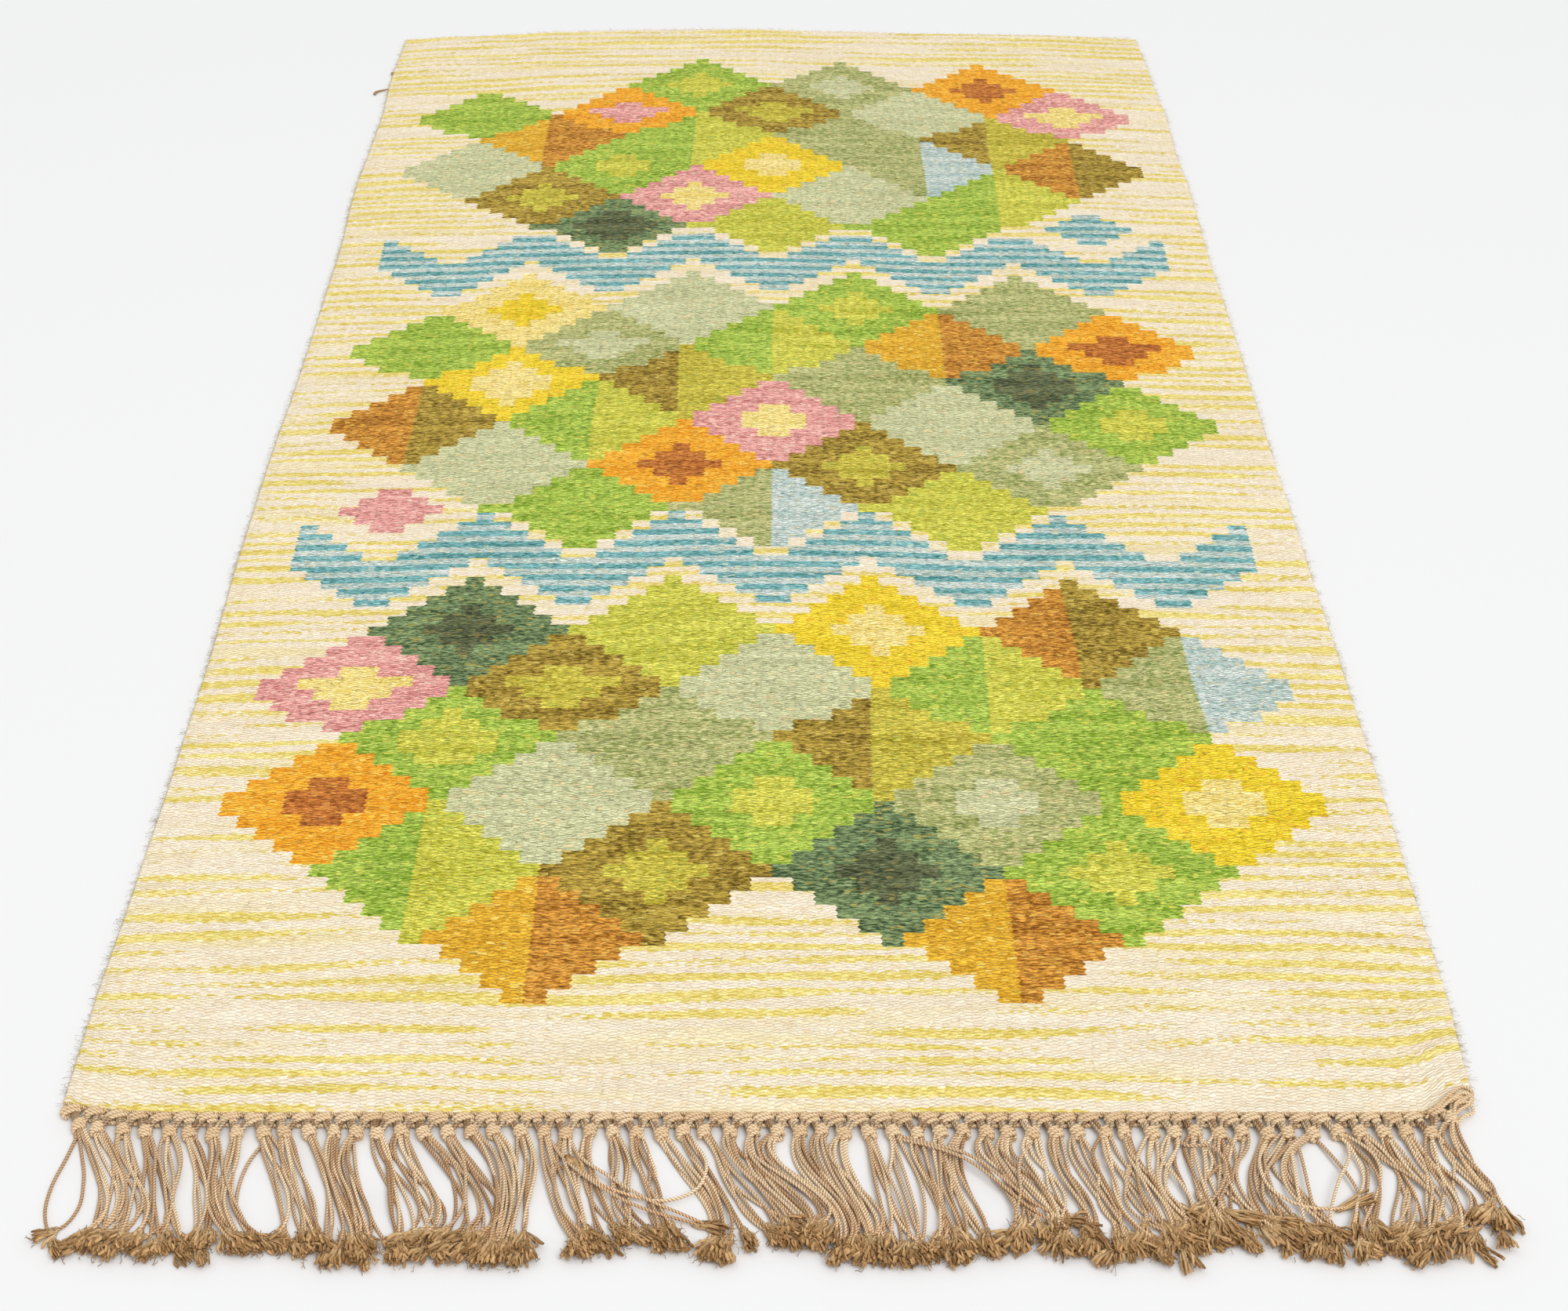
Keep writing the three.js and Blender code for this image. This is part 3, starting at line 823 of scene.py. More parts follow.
# %% Where the bunches lie
STRANDS_PER_KNOT = 6
UPPER_KNOT_DROP = 5.8 * MM
LOWER_KNOT_DROP = 15.2 * MM
STRAND_RADIUS = 0.97 * MM
HEADING_RADIUS = 1.1 * MM
STATIONS = (0.0, 0.31, 0.63, 1.0)
LOWER_KNOT_STRAY = 1.3
UPPER_KNOT_STRAY = 1.0
BUNCHES = [  # knots, left strand's three shifts, right strand's three shifts, hang: all in mm
    (5, 14, 21, 19, 5, 10, 14, 97), (3, 11, 16, 17, -3, 1, 23, 95), (2, 12, 22, 26, 7, 15, 25, 92),
    (3, 15, 24, 27, -5, 5, 16, 98), (2, 10, 20, 27, 5, 20, 22, 96), (2, 18, 29, 23, 12, 27, 23, 95),
    (3, 16, 22, 17, 4, 1, 3, 98), (3, 7, 12, 20, -4, 3, 14, 92), (2, 7, 11, 18, 3, 9, 25, 92),
    (2, 16, 32, 35, 8, 17, 27, 95), (4, 11, 22, 41, -2, 18, 23, 87), (3, 6, 20, 24, -4, 6, 11, 97),
    (2, 5, 12, 15, 4, 9, 15, 98), (3, 6, 11, 13, -7, -2, 8, 97), (3, -2, 14, 14, -3, 7, 14, 92),
    (5, 2, 14, 18, -2, -2, 3, 97), (4, 0, 1, 4, -7, -10, 4, 89), (3, -6, -7, 6, -22, -18, 7, 95),
    (4, 15, 16, 10, 2, 6, -3, 97), (2, 2, 6, 3, -2, 2, 9, 95),
]

knot_counts = np.array([bunch[0] for bunch in BUNCHES])
bunch_first = np.concatenate([[0], np.cumsum(knot_counts)[:-1]])
strand_knot = np.repeat(np.arange(KNOTS), STRANDS_PER_KNOT)
strand_in_knot = np.tile(np.arange(STRANDS_PER_KNOT), KNOTS)
place_in_knot = strand_in_knot - (STRANDS_PER_KNOT - 1) / 2
strand_bunch = np.repeat(np.arange(len(BUNCHES)), knot_counts * STRANDS_PER_KNOT)
bunch_table = np.array(BUNCHES, float)[strand_bunch]
strand_count = len(strand_knot)
fringe_rng = np.random.default_rng(31)

knot_jitter = fringe_rng.uniform(-LOWER_KNOT_STRAY, LOWER_KNOT_STRAY, KNOTS) * MM
knot_x = FIRST_KNOT_X + KNOT_PITCH * np.arange(KNOTS) + knot_jitter
upper_jitter = fringe_rng.uniform(-UPPER_KNOT_STRAY, UPPER_KNOT_STRAY, KNOTS + 1) * MM
upper_x = FIRST_KNOT_X + KNOT_PITCH * (np.arange(KNOTS + 1) - 0.5) + upper_jitter
print(strand_count, "strands in", len(BUNCHES), "bunches")

# %% [markdown]
# A free strand's sideways place is the cubic through its places at the knot and at the three
# stations, plus slow bends of its own and of its knot's. Neighbours change places a little from one
# station to the next, which makes them cross. The right third of the fringe is tangled: there the
# strands cross and bend more. Each rests on the floor or on the strands below it.

# %% The free part of each strand
FREE_STEPS = 18
FIRST_FREE_SHARE = 0.045
TANGLE_STARTS = 34  # the knot where the tangle begins
TANGLE_GROWS = 12  # the knots over which it grows to the full
ROOT_SPACING = 0.85 * MM
STATION_MIXING = (0.8, 1.7, 2.4)  # in strands
STRAND_BEND = 0.9 * MM
KNOT_BEND = 1.1 * MM
TIP_CLEARANCE = 11 * MM  # the end of a bunch's hang, which its tufts take
HELD_BACK = 13 * MM  # how much shorter than its bunch a strand may be
TANGLED_BACK = 7 * MM
ROOT_HEIGHT = 2.9 * MM
PILE_HEIGHT = 3.4 * MM


def through_stations(values, share):
    """The cubic through a value at each station: every value times the product, over the other
    stations, of the share's distance from each divided by that value's own distance from it."""
    total = 0
    for here, value in zip(STATIONS, values):
        weight = 1
        for other in STATIONS:
            if other != here:
                weight = weight * (share - other) / (here - other)
        total = total + value * weight
    return total


free_share = np.linspace(FIRST_FREE_SHARE, 1, FREE_STEPS)[None, :]
bunch_knot = bunch_first[strand_bunch]
bunch_left = FIRST_KNOT_X + KNOT_PITCH * (bunch_knot - 0.5)
bunch_right = bunch_left + KNOT_PITCH * bunch_table[:, 0]
order = (strand_knot - bunch_knot) * STRANDS_PER_KNOT + strand_in_knot + 0.5
tangle = ease(np.clip((strand_knot - TANGLE_STARTS) / TANGLE_GROWS, 0, 1))
station_x = [knot_x[strand_knot] + place_in_knot * ROOT_SPACING]
for station, mixing in enumerate(STATION_MIXING):
    stray = fringe_rng.normal(0, mixing, strand_count) * (1 + 0.6 * tangle)
    place = (order + stray) / (bunch_table[:, 0] * STRANDS_PER_KNOT)
    left = bunch_left + bunch_table[:, 1 + station] * MM
    right = bunch_right + bunch_table[:, 4 + station] * MM
    station_x.append(mix(left, right, np.clip(place, 0, 1)))
free_x = through_stations([x[:, None] for x in station_x], free_share)


def bends(count, size, cycles, seed):
    """Slow sideways bends that grow from nothing at the root: a sine of random size and phase, less
    its value at the root."""
    rng = np.random.default_rng(seed)
    height = rng.uniform(0.2, 1, (count, 1)) * size
    phase = rng.uniform(0, 1, (count, 1))
    speed = rng.uniform(*cycles, (count, 1))
    grown = ease(np.minimum(1, free_share / 0.4))
    swing = np.sin(2 * np.pi * (speed * free_share + phase)) - np.sin(2 * np.pi * phase)
    return height * grown * swing


tangled = tangle[:, None]
free_x = free_x + bends(strand_count, STRAND_BEND, (0.8, 1.8), 41) * (1 + 0.3 * tangled)
free_x = free_x + bends(KNOTS, KNOT_BEND, (0.5, 1.0), 42)[strand_knot] * (1 + 2.6 * tangled)

held_back = fringe_rng.uniform(0, 1, (strand_count, 1)) * (HELD_BACK + TANGLED_BACK * tangled)
hang = bunch_table[:, 7:8] * MM - TIP_CLEARANCE - held_back
knot_sink = np.random.default_rng(32).uniform(-1.0, 1.2, KNOTS) * MM  # lower knots sit unevenly
root_y = near_edge(FIRST_KNOT_X + KNOT_PITCH * strand_knot)[:, None] - LOWER_KNOT_DROP
root_y = root_y - knot_sink[strand_knot][:, None]
free_y = root_y - free_share * hang

layer_height = fringe_rng.uniform(0, 1, (strand_count, 1)) ** 1.4 * PILE_HEIGHT
layer_phase = fringe_rng.uniform(0, 1, (strand_count, 1))
layer_wave = 0.65 + 0.35 * np.sin(2 * np.pi * (free_share * 1.3 + layer_phase))
settled = STRAND_RADIUS + 0.1 * MM + layer_height * layer_wave
free_z = mix(np.full_like(free_x, ROOT_HEIGHT), settled, ease(np.minimum(1, free_share / 0.2)))
free = np.stack([free_x, free_y, free_z], -1)

# %% [markdown]
# A few strands have strayed: they cross the others, curl back or bound an open loop. Each is laid
# through a few listed points, and takes the place of one strand of its knot.

# %% The strayed strands
STRAY_END_HEIGHT = 1.3 * MM
STRAYS = [  # knot, strand in the knot, height of its middle, points (x, y): all in mm
    (0, 0, 1, [(-366, -773), (-368, -788), (-371, -808), (-370, -827), (-365, -841), (-361, -849)]),
    (0, 1, 1, [(-363, -776), (-355, -805), (-354, -825), (-359, -837), (-364, -841)]),
    (8, 0, 1, [(-265, -773), (-272, -791), (-274, -808), (-272, -825), (-262, -839), (-249, -848)]),
    (12, 5, 1, [(-219, -775), (-214, -799), (-206, -822), (-197, -841), (-190, -851)]),
    (26, 5, 4, [(-41, -773), (-32, -795), (-37, -813), (-52, -821), (-73, -816), (-89, -806),
                (-98, -796)]),
    (21, 4, 5, [(-105, -773), (-99, -788), (-83, -804), (-60, -822), (-40, -832), (-28, -838)]),
    (20, 3, 5, [(-116, -773), (-107, -790), (-91, -808), (-68, -825), (-46, -833), (-34, -836)]),
    (35, 5, 6, [(68, -771), (85, -780), (104, -789), (120, -805), (139, -825), (153, -832)]),
    (35, 3, 6, [(65, -773), (83, -781), (102, -792), (117, -807), (133, -825), (146, -835)]),
    (51, 3, 5, [(264, -774), (256, -794), (260, -815), (273, -825), (289, -826), (299, -823)]),
    (53, 4, 3, [(290, -775), (296, -789), (303, -808), (306, -826), (307, -841)]),
    (54, 1, 5, [(305, -773), (304, -788), (295, -808), (288, -827), (284, -841)]),
    (47, 5, 6, [(216, -773), (220, -781), (231, -782), (238, -794), (234, -812), (224, -824)]),
    (52, 2, 4, [(275, -775), (274, -794), (273, -816), (273, -838), (272, -850)]),
    (52, 4, 4, [(279, -775), (279, -794), (279, -819), (280, -838), (282, -848)]),
    (41, 2, 5, [(140, -774), (131, -794), (130, -816), (126, -836), (127, -847)]),
]


def smooth_path(points, steps):
    """A curve through the points, even along its chords. On each chord it is the cubic whose slope
    at either end runs from that point's one neighbour to the other."""
    points = np.array(points, float)
    chord = np.concatenate([[0], np.cumsum(np.linalg.norm(np.diff(points, axis=0), axis=1))])
    slope = np.gradient(points, chord, axis=0)
    place = np.linspace(0, chord[-1], steps)
    left = np.clip(np.searchsorted(chord, place, side="right") - 1, 0, len(points) - 2)
    span = (chord[left + 1] - chord[left])[:, None]
    share = (place[:, None] - chord[left][:, None]) / span
    chord_slope = (points[left + 1] - points[left]) / span
    leave = (1 - share) * (slope[left] - chord_slope)
    arrive = share * (slope[left + 1] - chord_slope)
    return mix(points[left], points[left + 1], share) + span * share * (1 - share) * (leave - arrive)


for stray_knot, stray_strand, stray_height, stray_points in STRAYS:
    number = stray_knot * STRANDS_PER_KNOT + stray_strand
    rise = np.sin(np.pi * np.linspace(0, 1, FREE_STEPS)) ** 0.7
    free[number, :, :2] = smooth_path(stray_points, FREE_STEPS) * MM
    free[number, :, 2] = mix(STRAY_END_HEIGHT, stray_height * MM, rise)
print(len(STRAYS), "strayed strands")

# %% [markdown]
# In the heading each strand's path is pinned at its places in the two knots, close to the other five
# that share them. The heading's pins and the free part join into one path a strand.

# %% The strands
UPPER_SPACING = 1.5 * MM
LOWER_SPACING = 0.95 * MM
HEADING_PINS = [  # drop below the cloth's edge, height, share to the lower knot, every other's lift
    (-0.6, 1.6, 0.0, 0.0), (2.2, 2.2, 0.0, 0.3), (6.0, 3.0, 0.0, 0.8),
    (10.6, 3.5, 0.5, 1.2), (15.2, 3.1, 1.0, 0.8),
]
upper_of_strand = strand_knot + (strand_in_knot >= STRANDS_PER_KNOT // 2)
place_in_upper = (strand_in_knot + 3) % STRANDS_PER_KNOT - (STRANDS_PER_KNOT - 1) / 2
edge_x = FIRST_KNOT_X + KNOT_PITCH * strand_knot + place_in_knot * KNOT_PITCH / STRANDS_PER_KNOT
upper_place = upper_x[upper_of_strand] + place_in_upper * UPPER_SPACING
lower_place = knot_x[strand_knot] + place_in_knot * LOWER_SPACING

heading_points = []
for pin, (drop, height, across_share, every_other) in enumerate(HEADING_PINS):
    pin_x = mix(upper_place, lower_place, across_share)
    if pin < 2:
        pin_x = mix(edge_x, upper_place, pin / 2)
    pin_y = near_edge(pin_x) - drop * MM - knot_sink[strand_knot] * across_share
    pin_z = (height + every_other * (strand_in_knot % 2)) * MM
    heading_points.append(np.stack([pin_x, pin_y, pin_z], -1))
heading = np.stack(heading_points, 1)
strand_paths = np.concatenate([heading, free], axis=1)
strand_radii = np.full((1, strand_paths.shape[1]), HEADING_RADIUS)
strand_radii[:, len(HEADING_PINS):] = STRAND_RADIUS * np.linspace(1.05, 0.9, FREE_STEPS)
strands = make_tubes("fringe_strands", [(strand_paths, strand_radii, 5, UP, 0.0)], 51)

# %% [markdown]
# A knot is a few slanting turns of one twine round the others. A helix with a flattened ring stands
# for it, round the bundle as it goes along: two wide turns for an upper knot, three narrow ones for a
# lower knot. At the drawn-up right corner four twines are wound over the cloth's edge; they are laid
# through listed points, like the strays.

# %% The knots
KNOT_STEPS = 30
KNOT_TWINE = 1.25 * MM
KNOT_TALL = (1.9 * MM, 2.4 * MM)
KNOT_SLANT = 0.32
UPPER_KNOT = {"turns": 2.3, "long": 6.2 * MM, "wide": (4.3 * MM, 5.1 * MM), "lean": (0.2, 0.6),
              "height": 3.1 * MM}
LOWER_KNOT = {"turns": 3.1, "long": 7.8 * MM, "wide": (2.7 * MM, 3.3 * MM), "lean": (0.0, 0.35),
              "height": 3.0 * MM}
CORNER_STEPS = 34
CORNER_TWINES = [  # points (x, y, z) in mm
    [(352, -756, 3.5), (360, -749, 5), (367, -742, 5.5), (375, -737, 5), (379, -741, 4),
     (374, -746, 5.5), (368, -750, 6), (365, -758, 5.5), (362, -770, 4), (362, -782, 3),
     (364, -794, 2.5), (370, -812, 2)],
    [(354, -758, 3), (362, -751, 5.5), (369, -745, 6), (376, -741, 4.5), (378, -746, 3),
     (374, -750, 3.5), (369, -754, 4), (363, -763, 3.5), (361, -775, 3), (364, -790, 2),
     (372, -812, 1.5)],
    [(366, -749, 3), (372, -747, 4), (376, -750, 3.5), (376, -755, 3), (371, -758, 3.5), (366, -763, 3)],
    [(350, -759, 2.5), (358, -752, 4), (366, -746, 4.5), (372, -742, 5), (377, -743, 4), (375, -749, 3)],
]


def knot_paths(centres_x, drop, seed, turns, long, wide, lean, height):
    """A helix whose axis runs away from the cloth: a cosine sideways, a sine upwards and a steady
    run along, slanted so that each turn rises to the right, and never below the floor."""
    rng = np.random.default_rng(seed)
    share = np.linspace(0, 1, KNOT_STEPS)[None, :]
    count = len(centres_x)
    angle = 2 * np.pi * (turns * share + rng.uniform(0, 1, (count, 1)))
    wide = rng.uniform(*wide, (count, 1))
    tall = rng.uniform(*KNOT_TALL, (count, 1))
    lean = rng.uniform(*lean, (count, 1))
    run = (share - 0.5) * long
    swell = 0.72 + 0.28 * np.sin(np.pi * share)
    sideways = wide * swell * np.cos(angle)
    x = centres_x[:, None] + sideways + lean * run
    y = near_edge(centres_x)[:, None] - drop - run + KNOT_SLANT * sideways
    z = np.maximum(height + tall * swell * np.sin(angle), KNOT_TWINE)
    return np.stack([x, y, z], -1)


lower_drop = LOWER_KNOT_DROP + 0.4 * MM + knot_sink[:, None]
upper_knots = knot_paths(upper_x, UPPER_KNOT_DROP, 61, **UPPER_KNOT)
lower_knots = knot_paths(knot_x, lower_drop, 62, **LOWER_KNOT)
corner_twines = np.stack([smooth_path(points, CORNER_STEPS) for points in CORNER_TWINES]) * MM
knots = make_tubes("fringe_knots", [(upper_knots, KNOT_TWINE, 5, ALONG_Y, 0.0),
                                    (lower_knots, KNOT_TWINE, 5, ALONG_Y, 0.0),
                                    (corner_twines, STRAND_RADIUS, 6, UP, 0.0)], 63)

# %% [markdown]
# Along the very end of the cloth two twines are twisted round each other and round the warp ends, to
# keep the last wefts from slipping. They are two long helices with opposite phases.

# %% The twined row
TWINING_PITCH = 8.4 * MM
TWINING_STEPS = 900
TWINING_INSET = 1.5 * MM
TWINING_RADIUS = 0.8 * MM


def twining_path(phase):
    """Along the knotted end: a cosine to and fro, a sine up and down, at a slightly uneven beat."""
    x = np.linspace(left_edge(NEAR_Y) + TWINING_INSET, right_edge(NEAR_Y) - TWINING_INSET, TWINING_STEPS)
    angle = 2 * np.pi * (x / TWINING_PITCH + phase) + 0.8 * np.sin(x * 90)
    y = near_edge(x) + (0.9 * np.cos(angle) - 1.3) * MM
    z = (0.8 * np.sin(angle) + 2.4) * MM
    return np.stack([x, y, z], -1)


twining_paths = np.stack([twining_path(0.0), twining_path(0.5)])
twining = make_tubes("edge_twining", [(twining_paths, TWINING_RADIUS, 6, ALONG_X, 0.0)], 71)

# %% [markdown]
# At the tips the twine has come undone into a soft brush, tan where it leaves the strand and brown at
# its end. One closed bulb a tip looks like a seed pod. A brush is made of locks instead, rough tubes
# that thicken and fan out from the strand's end, with fine curly fibres standing out between them.
# Locks and fibres are both running sums of small steps in a direction that turns a little at each.

# %% The brushes at the tips
LOCKS_PER_TIP = 10
LOCK_STEPS = 5
LOCK_RADII = np.array([0.64, 0.72, 0.84, 0.92, 0.78]) * MM
LOCK_ROUGH = 0.5
LOCK_LONG = (10.5, 13.5)  # in mm, as are LOCK_END_HEIGHT, FIBRE_LONG and FIBRE_HEIGHTS
LOCK_CRIMP = 0.26
LOCK_END_HEIGHT = (1.2, 6.0)
BRUSH_HALF_WIDTH = 1.3 * MM
BRUSH_FLARE = (0.06, 0.24)
FIBRES_PER_TIP = 14
FIBRE_STEPS = 4
FIBRE_RADIUS = 0.2 * MM
FIBRE_SPREAD = 1.6 * MM
FIBRE_LONG = (2.0, 4.8)
FIBRE_CRIMP = 0.7
FIBRE_HEIGHTS = ((1.5, 5.0), (0.4, 6.5))  # where it starts, where it ends


def wander_from(starts, courses, length, curl, heights):
    """Running sums: the point after n steps is the start plus n steps of length / (steps - 1), each
    turned by its own curl from the one before. The height eases from the first value to the second."""
    steps = curl.shape[1] + 1
    angle = courses[:, None] + np.cumsum(curl, axis=1)
    moves = np.stack([np.cos(angle), np.sin(angle)], -1) * (length / (steps - 1))[:, :, None]
    flat = np.concatenate([np.zeros((len(starts), 1, 2)), np.cumsum(moves, axis=1)], axis=1)
    z = mix(heights[0], heights[1], ease(np.linspace(0, 1, steps)[None, :]))
    return np.concatenate([starts[:, None, :] + flat, z[:, :, None]], -1)


def repeat_tips(times, back):
    """Each tip's place, course and height several times over, moved back along the course."""
    course = np.repeat(courses, times)
    place = np.repeat(tips, times, axis=0)
    direction = np.stack([np.cos(course), np.sin(course)], -1)
    return place[:, :2] - back * direction, course, place[:, 2:3]


def crimp(count, turns, size):
    """Turns that bend a path to and fro without changing its course: the steps of a random row."""
    return np.diff(tuft_rng.normal(0, size, (count, turns)), axis=1, prepend=0)


tuft_rng = np.random.default_rng(81)
tips = strand_paths[:, -1]
last_run = strand_paths[:, -1] - strand_paths[:, -3]
courses = np.arctan2(last_run[:, 1], last_run[:, 0])

lock_count = strand_count * LOCKS_PER_TIP
brush_long = 1.12 + 0.7 * tangle * tuft_rng.uniform(0.2, 1, strand_count)
lock_long = np.repeat(brush_long, LOCKS_PER_TIP)[:, None]
lock_back = (tuft_rng.uniform(2, 4, (lock_count, 1)) + (lock_long - 1) * 9) * MM
lock_start, lock_course, lock_height = repeat_tips(LOCKS_PER_TIP, lock_back)
flare = np.repeat(tuft_rng.uniform(*BRUSH_FLARE, strand_count) / brush_long, LOCKS_PER_TIP)
lock_side = np.tile(np.linspace(-1, 1, LOCKS_PER_TIP), strand_count)
lock_fan = flare * lock_side + tuft_rng.normal(0, 0.05, lock_count)
lock_across = np.stack([-np.sin(lock_course), np.cos(lock_course)], -1)
lock_start = lock_start + lock_across * lock_side[:, None] * BRUSH_HALF_WIDTH
lock_length = np.repeat(tuft_rng.uniform(*LOCK_LONG, (strand_count, 1)), LOCKS_PER_TIP, axis=0)
lock_length = (lock_length + tuft_rng.normal(0, 0.4, (lock_count, 1))) * MM * lock_long
lock_curl = crimp(lock_count, LOCK_STEPS - 1, LOCK_CRIMP) / lock_long
lock_end = tuft_rng.uniform(*LOCK_END_HEIGHT, (lock_count, 1)) * MM
locks = wander_from(lock_start, lock_course + lock_fan, lock_length, lock_curl, (lock_height, lock_end))
lock_radii = LOCK_RADII[None, :] * tuft_rng.uniform(0.75, 1.2, (lock_count, 1))
locks[:, :, 2] = np.maximum(locks[:, :, 2], lock_radii * (1 + LOCK_ROUGH))

fibre_count = strand_count * FIBRES_PER_TIP
fibre_back = tuft_rng.uniform(-10, 0, (fibre_count, 1)) * MM  # below zero is ahead of the tip
fibre_start, fibre_course, _ = repeat_tips(FIBRES_PER_TIP, fibre_back)
fibre_start = fibre_start + tuft_rng.normal(0, FIBRE_SPREAD, (fibre_count, 2))
fibre_length = tuft_rng.uniform(*FIBRE_LONG, (fibre_count, 1)) * MM
fibre_curl = crimp(fibre_count, FIBRE_STEPS - 1, FIBRE_CRIMP)
fibre_heights = [tuft_rng.uniform(*span, (fibre_count, 1)) * MM for span in FIBRE_HEIGHTS]
fibre_course = fibre_course + tuft_rng.normal(0, 1.0, fibre_count)
fibres = wander_from(fibre_start, fibre_course, fibre_length, fibre_curl, fibre_heights)
tip_first = (locks[:, ::-1], lock_radii[:, ::-1], 3, UP, LOCK_ROUGH)
tufts = make_tubes("fringe_tufts", [tip_first, (fibres, FIBRE_RADIUS, 3, UP, 0.0)], 82)

# %% [markdown]
# Spun wool is hairy. Fine hairs stand out of both selvedges and the plain end, and a few rise from the
# face. They are the same running sums, set off square to the edge.

# %% The wool's hairs
HAIR_STEPS = 4
HAIR_RADIUS = 0.09 * MM
HAIR_ROOT = 0.8 * MM  # how far inside the edge a hair starts
HAIR_SCATTER = 0.7
EDGE_HAIRS = 1500
FACE_HAIRS = 1500

hair_rng = np.random.default_rng(91)


def edge_hairs(count, side):
    """Hairs along a selvedge: side is -1 for the left one and 1 for the right one."""
    y = hair_rng.uniform(NEAR_Y + 5 * MM, FAR_Y - 30 * MM, count)
    x = (left_edge(y) if side < 0 else right_edge(y)) - side * HAIR_ROOT
    outwards = 0.0 if side > 0 else np.pi
    return np.stack([x, y], -1), outwards + hair_rng.normal(0, HAIR_SCATTER, count)


def far_hairs(count):
    x = hair_rng.uniform(-WIDTH / 2 + 6 * MM, WIDTH / 2 - 18 * MM, count)
    return np.stack([x, far_edge(x) - HAIR_ROOT], -1), np.pi / 2 + hair_rng.normal(0, HAIR_SCATTER, count)


def make_hairs(starts, hair_courses, heights):
    count = len(starts)
    length = hair_rng.uniform(1.5, 6.0, (count, 1)) * MM
    curl = hair_rng.normal(0, 0.4, (count, HAIR_STEPS - 1))
    return wander_from(starts, hair_courses, length, curl, heights)


rim_groups = [edge_hairs(EDGE_HAIRS, -1), edge_hairs(EDGE_HAIRS, 1), far_hairs(EDGE_HAIRS // 2)]
rim_starts, rim_courses = (np.concatenate(parts) for parts in zip(*rim_groups))
rim_heights = [hair_rng.uniform(*span, (len(rim_starts), 1)) * MM for span in ((1.5, 3.0), (0.4, 4.0))]
rim_hairs = make_hairs(rim_starts, rim_courses, rim_heights)
face_starts = hair_rng.uniform((-0.36, NEAR_Y + 0.01), (0.36, FAR_Y - 0.04), (FACE_HAIRS, 2))
face_heights = (3.6 * MM, hair_rng.uniform(4.2, 5.6, (FACE_HAIRS, 1)) * MM)
face_hairs = make_hairs(face_starts, hair_rng.uniform(0, 2 * np.pi, FACE_HAIRS), face_heights)
all_hairs = np.concatenate([rim_hairs, face_hairs])
hairs = make_tubes("wool_hairs", [(all_hairs, HAIR_RADIUS, 3, UP, 0.0)], 92)

# %% [markdown]
# At the left selvedge, near the far end, two ends of tan yarn were left hanging out and have frayed.
# They are tubes through a few listed points, thicker towards the frayed end.

# %% The loose yarn ends
LOOSE_ENDS = [  # points (x, y, z) in mm
    [(-377, 697, 2.5), (-381, 697, 2.2), (-386, 696, 1.5), (-390, 694, 1.4), (-393, 690, 1.6),
     (-394, 686, 1.6)],
    [(-378, 741, 2.5), (-380, 741, 2.2), (-382, 740, 1.9), (-384, 739, 1.6)],
]
LOOSE_STEPS = 14
LOOSE_ROUGH = 0.15
loose_paths = np.stack([smooth_path(points, LOOSE_STEPS) for points in LOOSE_ENDS]) * MM
loose_radii = np.linspace(0.5, 1.3, LOOSE_STEPS)[None, :] ** 1.5 * MM
loose_ends = make_tubes("loose_yarn_ends", [(loose_paths, loose_radii, 6, UP, LOOSE_ROUGH)], 93)

# %% [markdown]
# Linen is a smooth, slightly glossy bast yarn in greyed tan. The twine's two plies show as slanting
# ridges, with painted shade in the grooves between them and painted light on their crowns. The
# strands darken towards the tips, where handling has soiled them, and have painted shade at the root,
# deep among the knots. The frayed tips and the wool's hairs have a finish of their own, with thin
# streaks instead of plies.

# %% The linen finish
PLY_PITCH = 2.0 * MM
SLUB_GRAIN = (2.0, 260, 1)
TIP_DARKENING = (60 * MM, 118 * MM)  # where along the strand it begins and is complete
# Painted shade at a strand's root, deep among the knots.
ROOT_PAINTED_SHADE = (7 * MM, 24 * MM)  # where it is full and where it has gone
FIBRE_GRAIN = (11, 230, 1)
BRUSH_END = (2 * MM, 10 * MM)  # how far from the tip the brown gives way to the tan


def make_ply_group():
    """Ridge: 0 in the groove between the plies and 1 on their crowns, the size of a sine of twice
    the turn round the twine plus the way along it. Slub: a soft noise."""
    tree, given, result = new_group(
        "two_ply_twine", [("Place", "NodeSocketVector")],
        [("Ridge", "NodeSocketFloat"), ("Slub", "NodeSocketFloat")])
    parts = add_node(tree, "ShaderNodeSeparateXYZ", {0: given.outputs["Place"]})
    along_ply = calculate(tree, "DIVIDE", parts.outputs[1], PLY_PITCH)
    phase = calculate(tree, "MULTIPLY_ADD", parts.outputs[0], 2.0, along_ply)
    wave = calculate(tree, "SINE", calculate(tree, "MULTIPLY", phase, np.pi))
    slub = stretched_noise(tree, given.outputs["Place"], SLUB_GRAIN).outputs["Fac"]
    return wire_outputs(tree, result, {"Ridge": calculate(tree, "ABSOLUTE", wave), "Slub": slub})


ply_group = make_ply_group()


def mix_by_own_shade(tree, own_share, other):
    """A tone from the tube's own random number and another value, which gets the rest of the share."""
    own = calculate(tree, "MULTIPLY", read_attribute(tree, "shade", "Fac"), own_share)
    return calculate(tree, "MULTIPLY_ADD", other, 1.0 - own_share, own)


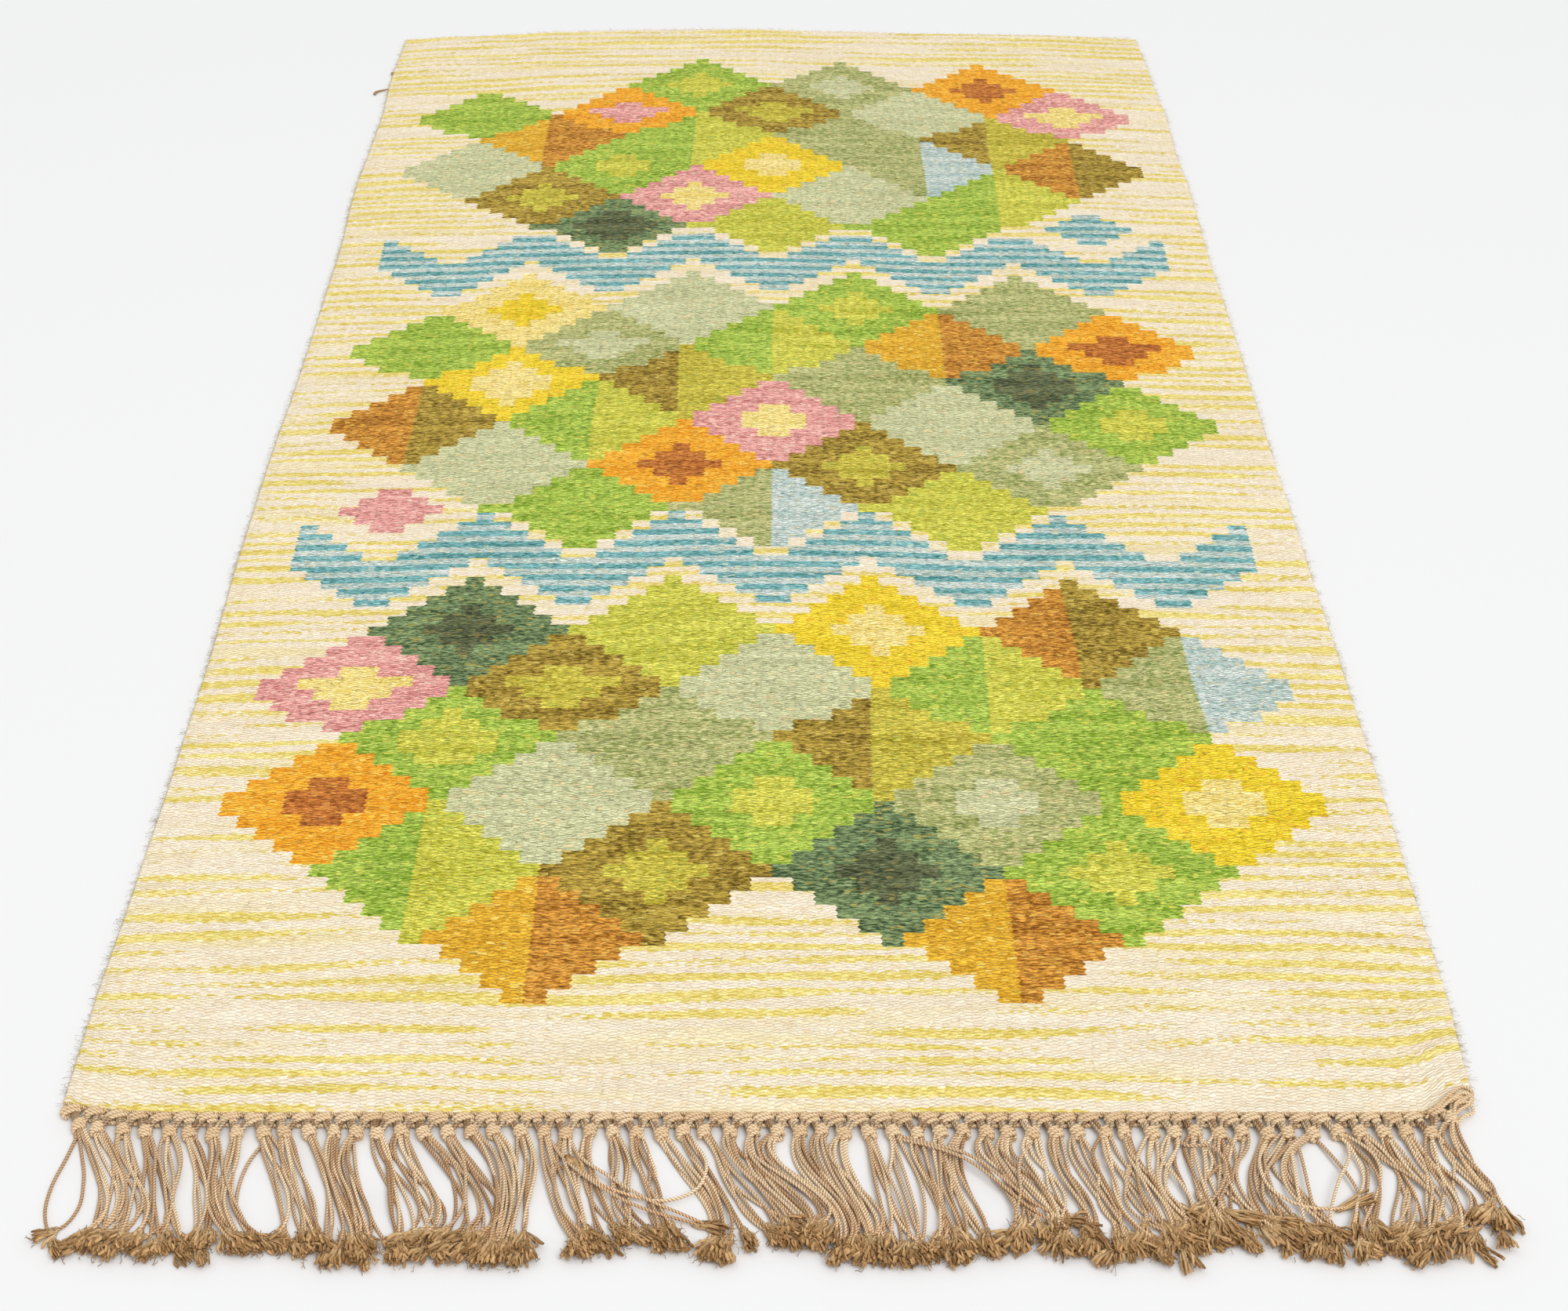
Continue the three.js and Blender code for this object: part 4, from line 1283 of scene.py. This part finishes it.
def make_linen(name, root_shades, tip_shades, own_share, ply_painted_shade, root_painted_shade):
    """Two shades mixed by the slubs and by each strand's own number, sliding towards two darker
    shades along the strand. Painted shade darkens the grooves between the plies and painted light
    lightens their crowns. Deep among the knots, at its root, less light reaches it, so painted shade
    darkens it there too."""
    material, tree, shader = new_material(name, linear(root_shades[1]))
    uv = read_uv(tree, "Twine")
    run = add_node(tree, "ShaderNodeSeparateXYZ", {0: uv}).outputs[1]
    ply = add_node(tree, "ShaderNodeGroup", {"Place": uv}, node_tree=ply_group).outputs
    tone = mix_by_own_shade(tree, own_share, ply["Slub"])
    towards_tip = map_range(tree, run, *TIP_DARKENING, interpolation_type="SMOOTHSTEP")
    colour = mix_colours(tree, towards_tip, mix_shades(tree, tone, root_shades),
                         mix_shades(tree, tone, tip_shades))
    # Painted shade in the ply grooves and painted light on their crowns, then painted shade at the root.
    shade = calculate(tree, "MULTIPLY_ADD", ply["Ridge"], ply_painted_shade, 1.0 - 0.64 * ply_painted_shade)
    shade = calculate(tree, "MULTIPLY", shade, map_range(tree, run, *ROOT_PAINTED_SHADE, to_low=root_painted_shade))
    wire_shader(tree, shader, scale_colour(tree, colour, shade), ply["Ridge"], 0.6 * MM, 1.0, 0.8, 0.25)
    return material


def make_fibre_finish(name, start_shades, end_shades):
    """Thin streaks along the fibres. A lock is made from its tip back: the shades slide from the end's
    two to the start's two between two and ten millimetres from the tip."""
    material, tree, shader = new_material(name, linear(end_shades[1]))
    uv = read_uv(tree, "Twine")
    run = add_node(tree, "ShaderNodeSeparateXYZ", {0: uv}).outputs[1]
    streaks = stretched_noise(tree, uv, FIBRE_GRAIN, 3.0).outputs["Fac"]
    tone = mix_by_own_shade(tree, 0.65, map_range(tree, streaks, 0.36, 0.64))
    colour = mix_colours(tree, map_range(tree, run, *BRUSH_END), mix_shades(tree, tone, end_shades),
                         mix_shades(tree, tone, start_shades))
    wire_shader(tree, shader, colour, streaks, 0.8 * MM, 0.9, 0.95, 0.1)
    return material


KNOT_SHADES = ((222, 182, 136), (255, 231, 192))
STRAND_SHADES = ((176, 131, 88), (255, 230, 192))
TIP_SHADES = ((168, 124, 80), (250, 208, 162))
BRUSH_START_SHADES = ((198, 152, 100), (255, 226, 176))
BRUSH_END_SHADES = ((120, 80, 38), (246, 200, 142))
HAIR_SHADES = ((226, 205, 158), (252, 240, 214))
LOOSE_SHADES = ((150, 116, 78), (206, 172, 130))
# The last two numbers of each linen give its painted shade: in the ply grooves, and at the root.
strands.data.materials.append(make_linen("linen_warp", STRAND_SHADES, TIP_SHADES, 0.8, 0.6, 0.62))
knot_linen = make_linen("linen_knots", KNOT_SHADES, KNOT_SHADES, 0.4, 0.25, 1.0)
knots.data.materials.append(knot_linen)
twining.data.materials.append(knot_linen)
tufts.data.materials.append(make_fibre_finish("linen_tufts", BRUSH_START_SHADES, BRUSH_END_SHADES))
hairs.data.materials.append(make_fibre_finish("wool_hairs", HAIR_SHADES, HAIR_SHADES))
loose_ends.data.materials.append(make_fibre_finish("frayed_tan", LOOSE_SHADES, LOOSE_SHADES))

# %% [markdown]
# The pieces stand for the model's two solids and move with its one body.

# %% Tie the pieces to the model
fringe_pieces = [strands, knots, twining, tufts]
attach(cloth, "root")
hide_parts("cloth")
for piece in (hairs, loose_ends):
    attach(piece, "root")
for piece in fringe_pieces:
    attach(piece, "root")
    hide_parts("fringe")

# %% [markdown]
# The floor is a plain pale sheet. An even sky gives most of the light. A wide soft sun from the right
# and the near end and a broad lamp overhead give the twine and the beads their form, with no hard
# shadow.

# %% Floor and light
FLOOR_Z = -0.2 * MM
SKY_STRENGTH = 0.66
SUN_STRENGTH = 1.35
LAMP_POWER = 17

floor_corners = [[-6, -6, FLOOR_Z], [6, -6, FLOOR_Z], [6, 8, FLOOR_Z], [-6, 8, FLOOR_Z]]
floor = make_piece("floor", np.array(floor_corners), [np.array([[0, 1, 2, 3]])])
floor_material, _, floor_shader = new_material("pale_floor", (0.85, 0.85, 0.85))
floor_shader.inputs["Base Color"].default_value = (0.84, 0.842, 0.845, 1)
floor_shader.inputs["Roughness"].default_value = 0.9
floor_shader.inputs["Specular IOR Level"].default_value = 0.1
floor.data.materials.append(floor_material)

world = bpy.data.worlds.new("studio")
world.use_nodes = True
background = world.node_tree.nodes["Background"]
background.inputs["Color"].default_value = (1.0, 1.0, 1.0, 1)
background.inputs["Strength"].default_value = SKY_STRENGTH
bpy.context.scene.world = world


def add_lamp(kind, name, place, turn, power, size):
    """A lamp of the kind given. The size is an area lamp's side in metres, or a sun's width as the
    angle that it fills."""
    lamp_data = bpy.data.lights.new(name, kind)
    lamp_data.energy = power
    if kind == "SUN":
        lamp_data.angle = size
    else:
        lamp_data.size = size
    lamp = bpy.data.objects.new(name, lamp_data)
    lamp.location = place
    lamp.rotation_euler = turn
    bpy.context.scene.collection.objects.link(lamp)


sun_turn = (np.radians(32), np.radians(26), 0)
add_lamp("SUN", "window", (1.5, -1.5, 3), sun_turn, SUN_STRENGTH, np.radians(34))
add_lamp("AREA", "overhead", (0.2, -1.3, 3.2), (0, 0, 0), LAMP_POWER, 3.0)
bpy.context.scene.view_settings.view_transform = "Standard"
